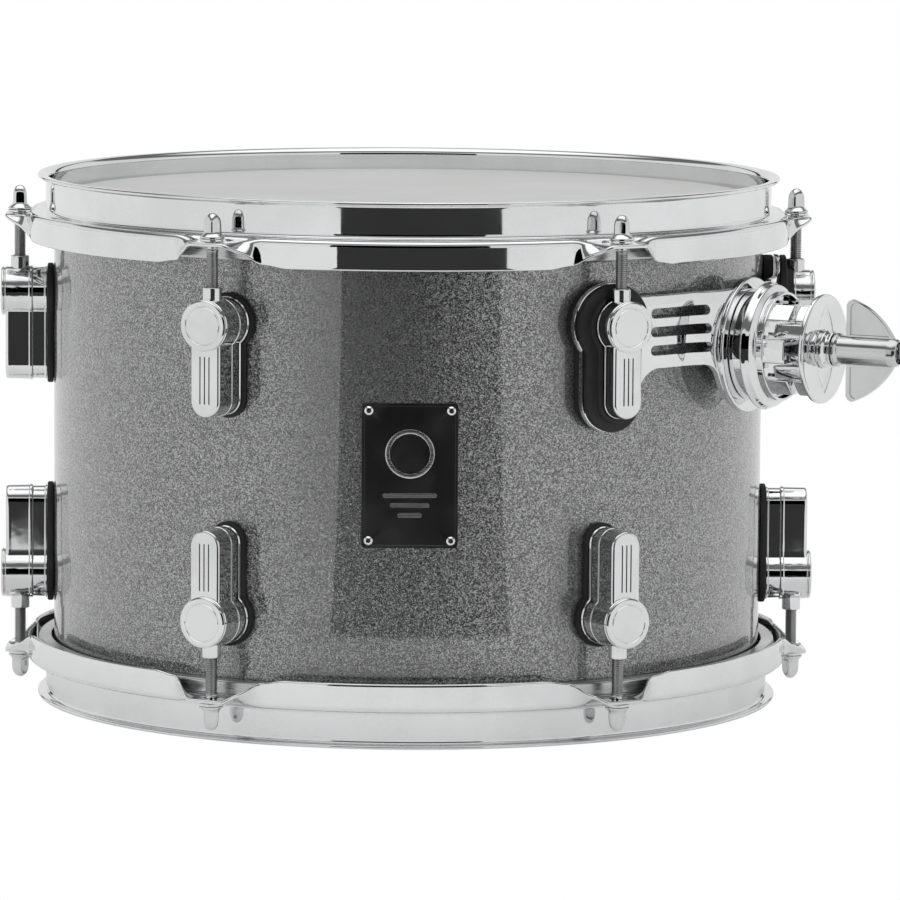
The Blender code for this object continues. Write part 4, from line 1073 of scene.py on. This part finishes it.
def makeWingNut():
    # hub and domed end turned; each wing is a plate whose two sides are pressed in, leaving a raised rim
    section = milled([(4.5, 201.0), (7.0, 201.0), (7.0, 202.5), (6.1, 203.5), (6.1, 226.0), (5.6, 228.4),
                      (4.9, 229.5), (4.5, 229.5)], [0.1, 0.4, 0.4, 0.4, 1.5, 1.2, 0.2, 0.1], 0.3)
    outline = wingOutline()
    middle = outline.mean(axis=0) + np.array([-1.2, -0.4]) * mm

    def layer(share, x, sign):
        # the outline shrunk to this share, at this distance to the side of the wing
        ring = middle + (outline - middle) * share
        return np.stack([0 * ring[:, 0] + x * mm, sign * ring[:, 1], ring[:, 0]], 1)

    steps = []
    for sign in (1, -1):
        wing = [layer(0.985, -1.7, sign), layer(1, -1.35, sign), layer(1, 1.35, sign), layer(0.985, 1.7, sign)]
        steps.append(("UNION", stacked("wing", wing)))
        for side in (1, -1):
            press = [layer(0.80, side * 0.95, sign), layer(0.84, side * 2.4, sign)]
            steps.append(("DIFFERENCE", stacked("press", press)))
    steps.append(("UNION", turned("hubAgain", section, 96)))
    addPiece("wingNut", cutMesh(turned("wingNut", section, 96), steps), satinChrome, "wing_nut",
             ["wing_nut"], clampPlace, sharp=30)


makeClampBase()
makeJaw()
makeStud()
makeWasher()
makeWingNut()
print("clamp made")


# ---- lug screws inside the shell

def makeLugScrews():
    # washer and domed hexagon head on the shell's inner face, two to a lug
    washer = np.array([(0, 142.7), (5.2, 142.7), (5.2, 143.7), (0, 143.7)]) * mm
    head = np.array([(0, 139.6), (2.4, 139.7), (3.6, 140.3), (3.8, 141.0), (3.8, 142.9), (0, 142.9)]) * mm
    for side in ("batter", "resonant"):
        for i, angle in enumerate(lugAngles, 1):
            for n, depth in enumerate((14 * mm, 38 * mm), 1):
                at = placeOut(angle, upperFace - depth if side == "batter" else lowerFace + depth)
                for label, profile, steps in (("Washer", washer, 40), ("Screw", head, 6)):
                    mesh = turned("lug" + label, profile, steps, at)
                    addPiece(f"{side}{label}{i}{n}", mesh, rodSteel, "root")


makeLugScrews()
print("lug screws made")


# ---- camera, light and floor

stageLook = {"aimAzimuth": -1.40, "aimElevation": 6.60, "distance": 2.745, "roll": 0.36, "lens": 256.8,
             "aimRight": 0.0066261682, "aimDown": 0.0026635514, "floorHalf": 6.0, "paperNear": 0.45,
             "paperFar": 3.5, "gapAzimuth": 158}


def makeCamera():
    p = stageLook
    az, el, roll = (math.radians(p[k]) for k in ("aimAzimuth", "aimElevation", "roll"))
    back = Vector((math.sin(az) * math.cos(el), -math.cos(az) * math.cos(el), math.sin(el)))
    right = (-back).cross(Vector((0, 0, 1))).normalized()
    up = right.cross(-back)
    right, up = right * math.cos(roll) + up * math.sin(roll), up * math.cos(roll) - right * math.sin(roll)
    forward = (-back + right * p["aimRight"] - up * p["aimDown"]).normalized()
    right = forward.cross(up).normalized()
    data = bpy.data.cameras.new("camera")
    data.lens, data.sensor_width, data.clip_start, data.clip_end = p["lens"], 36.0, 0.05, 50.0
    camera = linked("camera", data)
    camera.matrix_world = Matrix((right, right.cross(forward), -forward)).transposed().to_4x4()
    camera.location = Vector((0, 0, midHeight)) + back * p["distance"]
    bpy.context.scene.camera = camera


def makeWorld():
    # white to the camera; to everything else a studio: pale walls, a dark ring below the ceiling lights
    # and two narrow dark gaps between the side walls and the back
    world = bpy.data.worlds.new("studio")
    world.use_nodes = True
    tree = world.node_tree
    split = addNode(tree, "SeparateXYZ", Vector=addNode(tree, "TexCoord").outputs["Generated"]).outputs
    high = split["Z"]
    ring = maths(tree, "MULTIPLY", ranged(tree, high, 0.44, 0.52, 0, 1), ranged(tree, high, 0.70, 0.80, 1, 0))
    front = maths(tree, "MULTIPLY", split["Y"], -1.0)
    turn = maths(tree, "ABSOLUTE", maths(tree, "ARCTAN2", split["X"], front))
    off = maths(tree, "ABSOLUTE", maths(tree, "SUBTRACT", turn, math.radians(stageLook["gapAzimuth"])))
    gap = ranged(tree, off, math.radians(2.0), math.radians(3.4), 1, 0)
    dark = maths(tree, "MAXIMUM", maths(tree, "MULTIPLY", ring, 0.8), maths(tree, "MULTIPLY", gap, 0.92))
    top = ranged(tree, high, 0.75, 0.9, 0.80, 1.35)
    studio = maths(tree, "MULTIPLY", top, maths(tree, "SUBTRACT", 1.0, dark))
    seen = addNode(tree, "LightPath").outputs["Is Camera Ray"]
    back = tree.nodes["Background"].inputs
    back["Color"].default_value = (1, 1, 1, 1)
    feed(tree, back, Strength=addNode(tree, "Mix", i0=seen, i2=studio, i3=1.0).outputs[0])
    bpy.context.scene.world = world


def stageSheet(name, points, quads, shade, **values):
    # a flat matte sheet that belongs to the stage
    mesh = bpy.data.meshes.new(name)
    mesh.from_pydata([tuple(p) for p in points], [], quads)
    material, tree, shader = newMaterial(name, Specular_IOR_Level=0.0, Base_Color=grey(shade), **values)
    mesh.materials.append(material)
    sheet = linked(name, mesh)
    return sheet, tree


def hideFromCamera(sheet):
    # left in mirrors only
    sheet.visible_camera = sheet.visible_diffuse = sheet.visible_shadow = False


def makeCard():
    # black card before the drum for the chrome to mirror
    wide, tall, away, height = 1.45, 1.1, -3.4, 0.4
    points = [(-0.07 + x * wide, away, height + z * tall) for x, z in ((1, -1), (-1, -1), (-1, 1), (1, 1))]
    sheet, tree = stageSheet("frontCard", points, [(0, 1, 2, 3)], 0.0, Roughness=1.0)
    hideFromCamera(sheet)


def makeFloor():
    # plain white to the camera and clear from below; to everything else a pale sheet with a faint glow
    size, z = stageLook["floorHalf"], floorHeight - 0.05 * mm
    points = [(-size, -size, z), (size, -size, z), (size, size, z), (-size, size, z)]
    sheet, tree = stageSheet("floor", points, [(0, 1, 2, 3)], 0.85, Roughness=0.9, Emission_Color=(1, 1, 1, 1),
                             Emission_Strength=0.22)
    clear = addNode(tree, "BsdfTransparent").outputs[0]
    behind = addNode(tree, "NewGeometry").outputs["Backfacing"]
    white = addNode(tree, "Emission", Strength=1.0).outputs[0]
    seen = addNode(tree, "LightPath").outputs["Is Camera Ray"]
    paper = tree.nodes["Principled BSDF"].outputs[0]
    plain = addNode(tree, "MixShader", i0=seen, i1=paper, i2=white).outputs[0]
    swap = addNode(tree, "MixShader", i0=behind, i1=plain, i2=clear).outputs[0]
    feed(tree, tree.nodes["Material Output"].inputs, Surface=swap)


def makeWedge():
    # dark paper lying in front of the drum, seen only in its mirror-like faces
    turns = np.radians(np.linspace(-21.8, 26.8, 13))
    level = floorHeight + 0.3 * mm
    near, far = (np.stack([r * np.sin(turns), -r * np.cos(turns), 0 * turns + level], 1)
                 for r in (stageLook["paperNear"], stageLook["paperFar"]))
    quads = gridQuads(2, 13, wrapCols=False).tolist()
    sheet, tree = stageSheet("darkPaper", np.concatenate([near, far]).tolist(), quads, 0.05, Roughness=1.0)
    hideFromCamera(sheet)


makeCamera()
makeWorld()
makeFloor()
makeWedge()
makeCard()
bpy.context.scene.view_settings.view_transform = "Standard"
print("stage made")
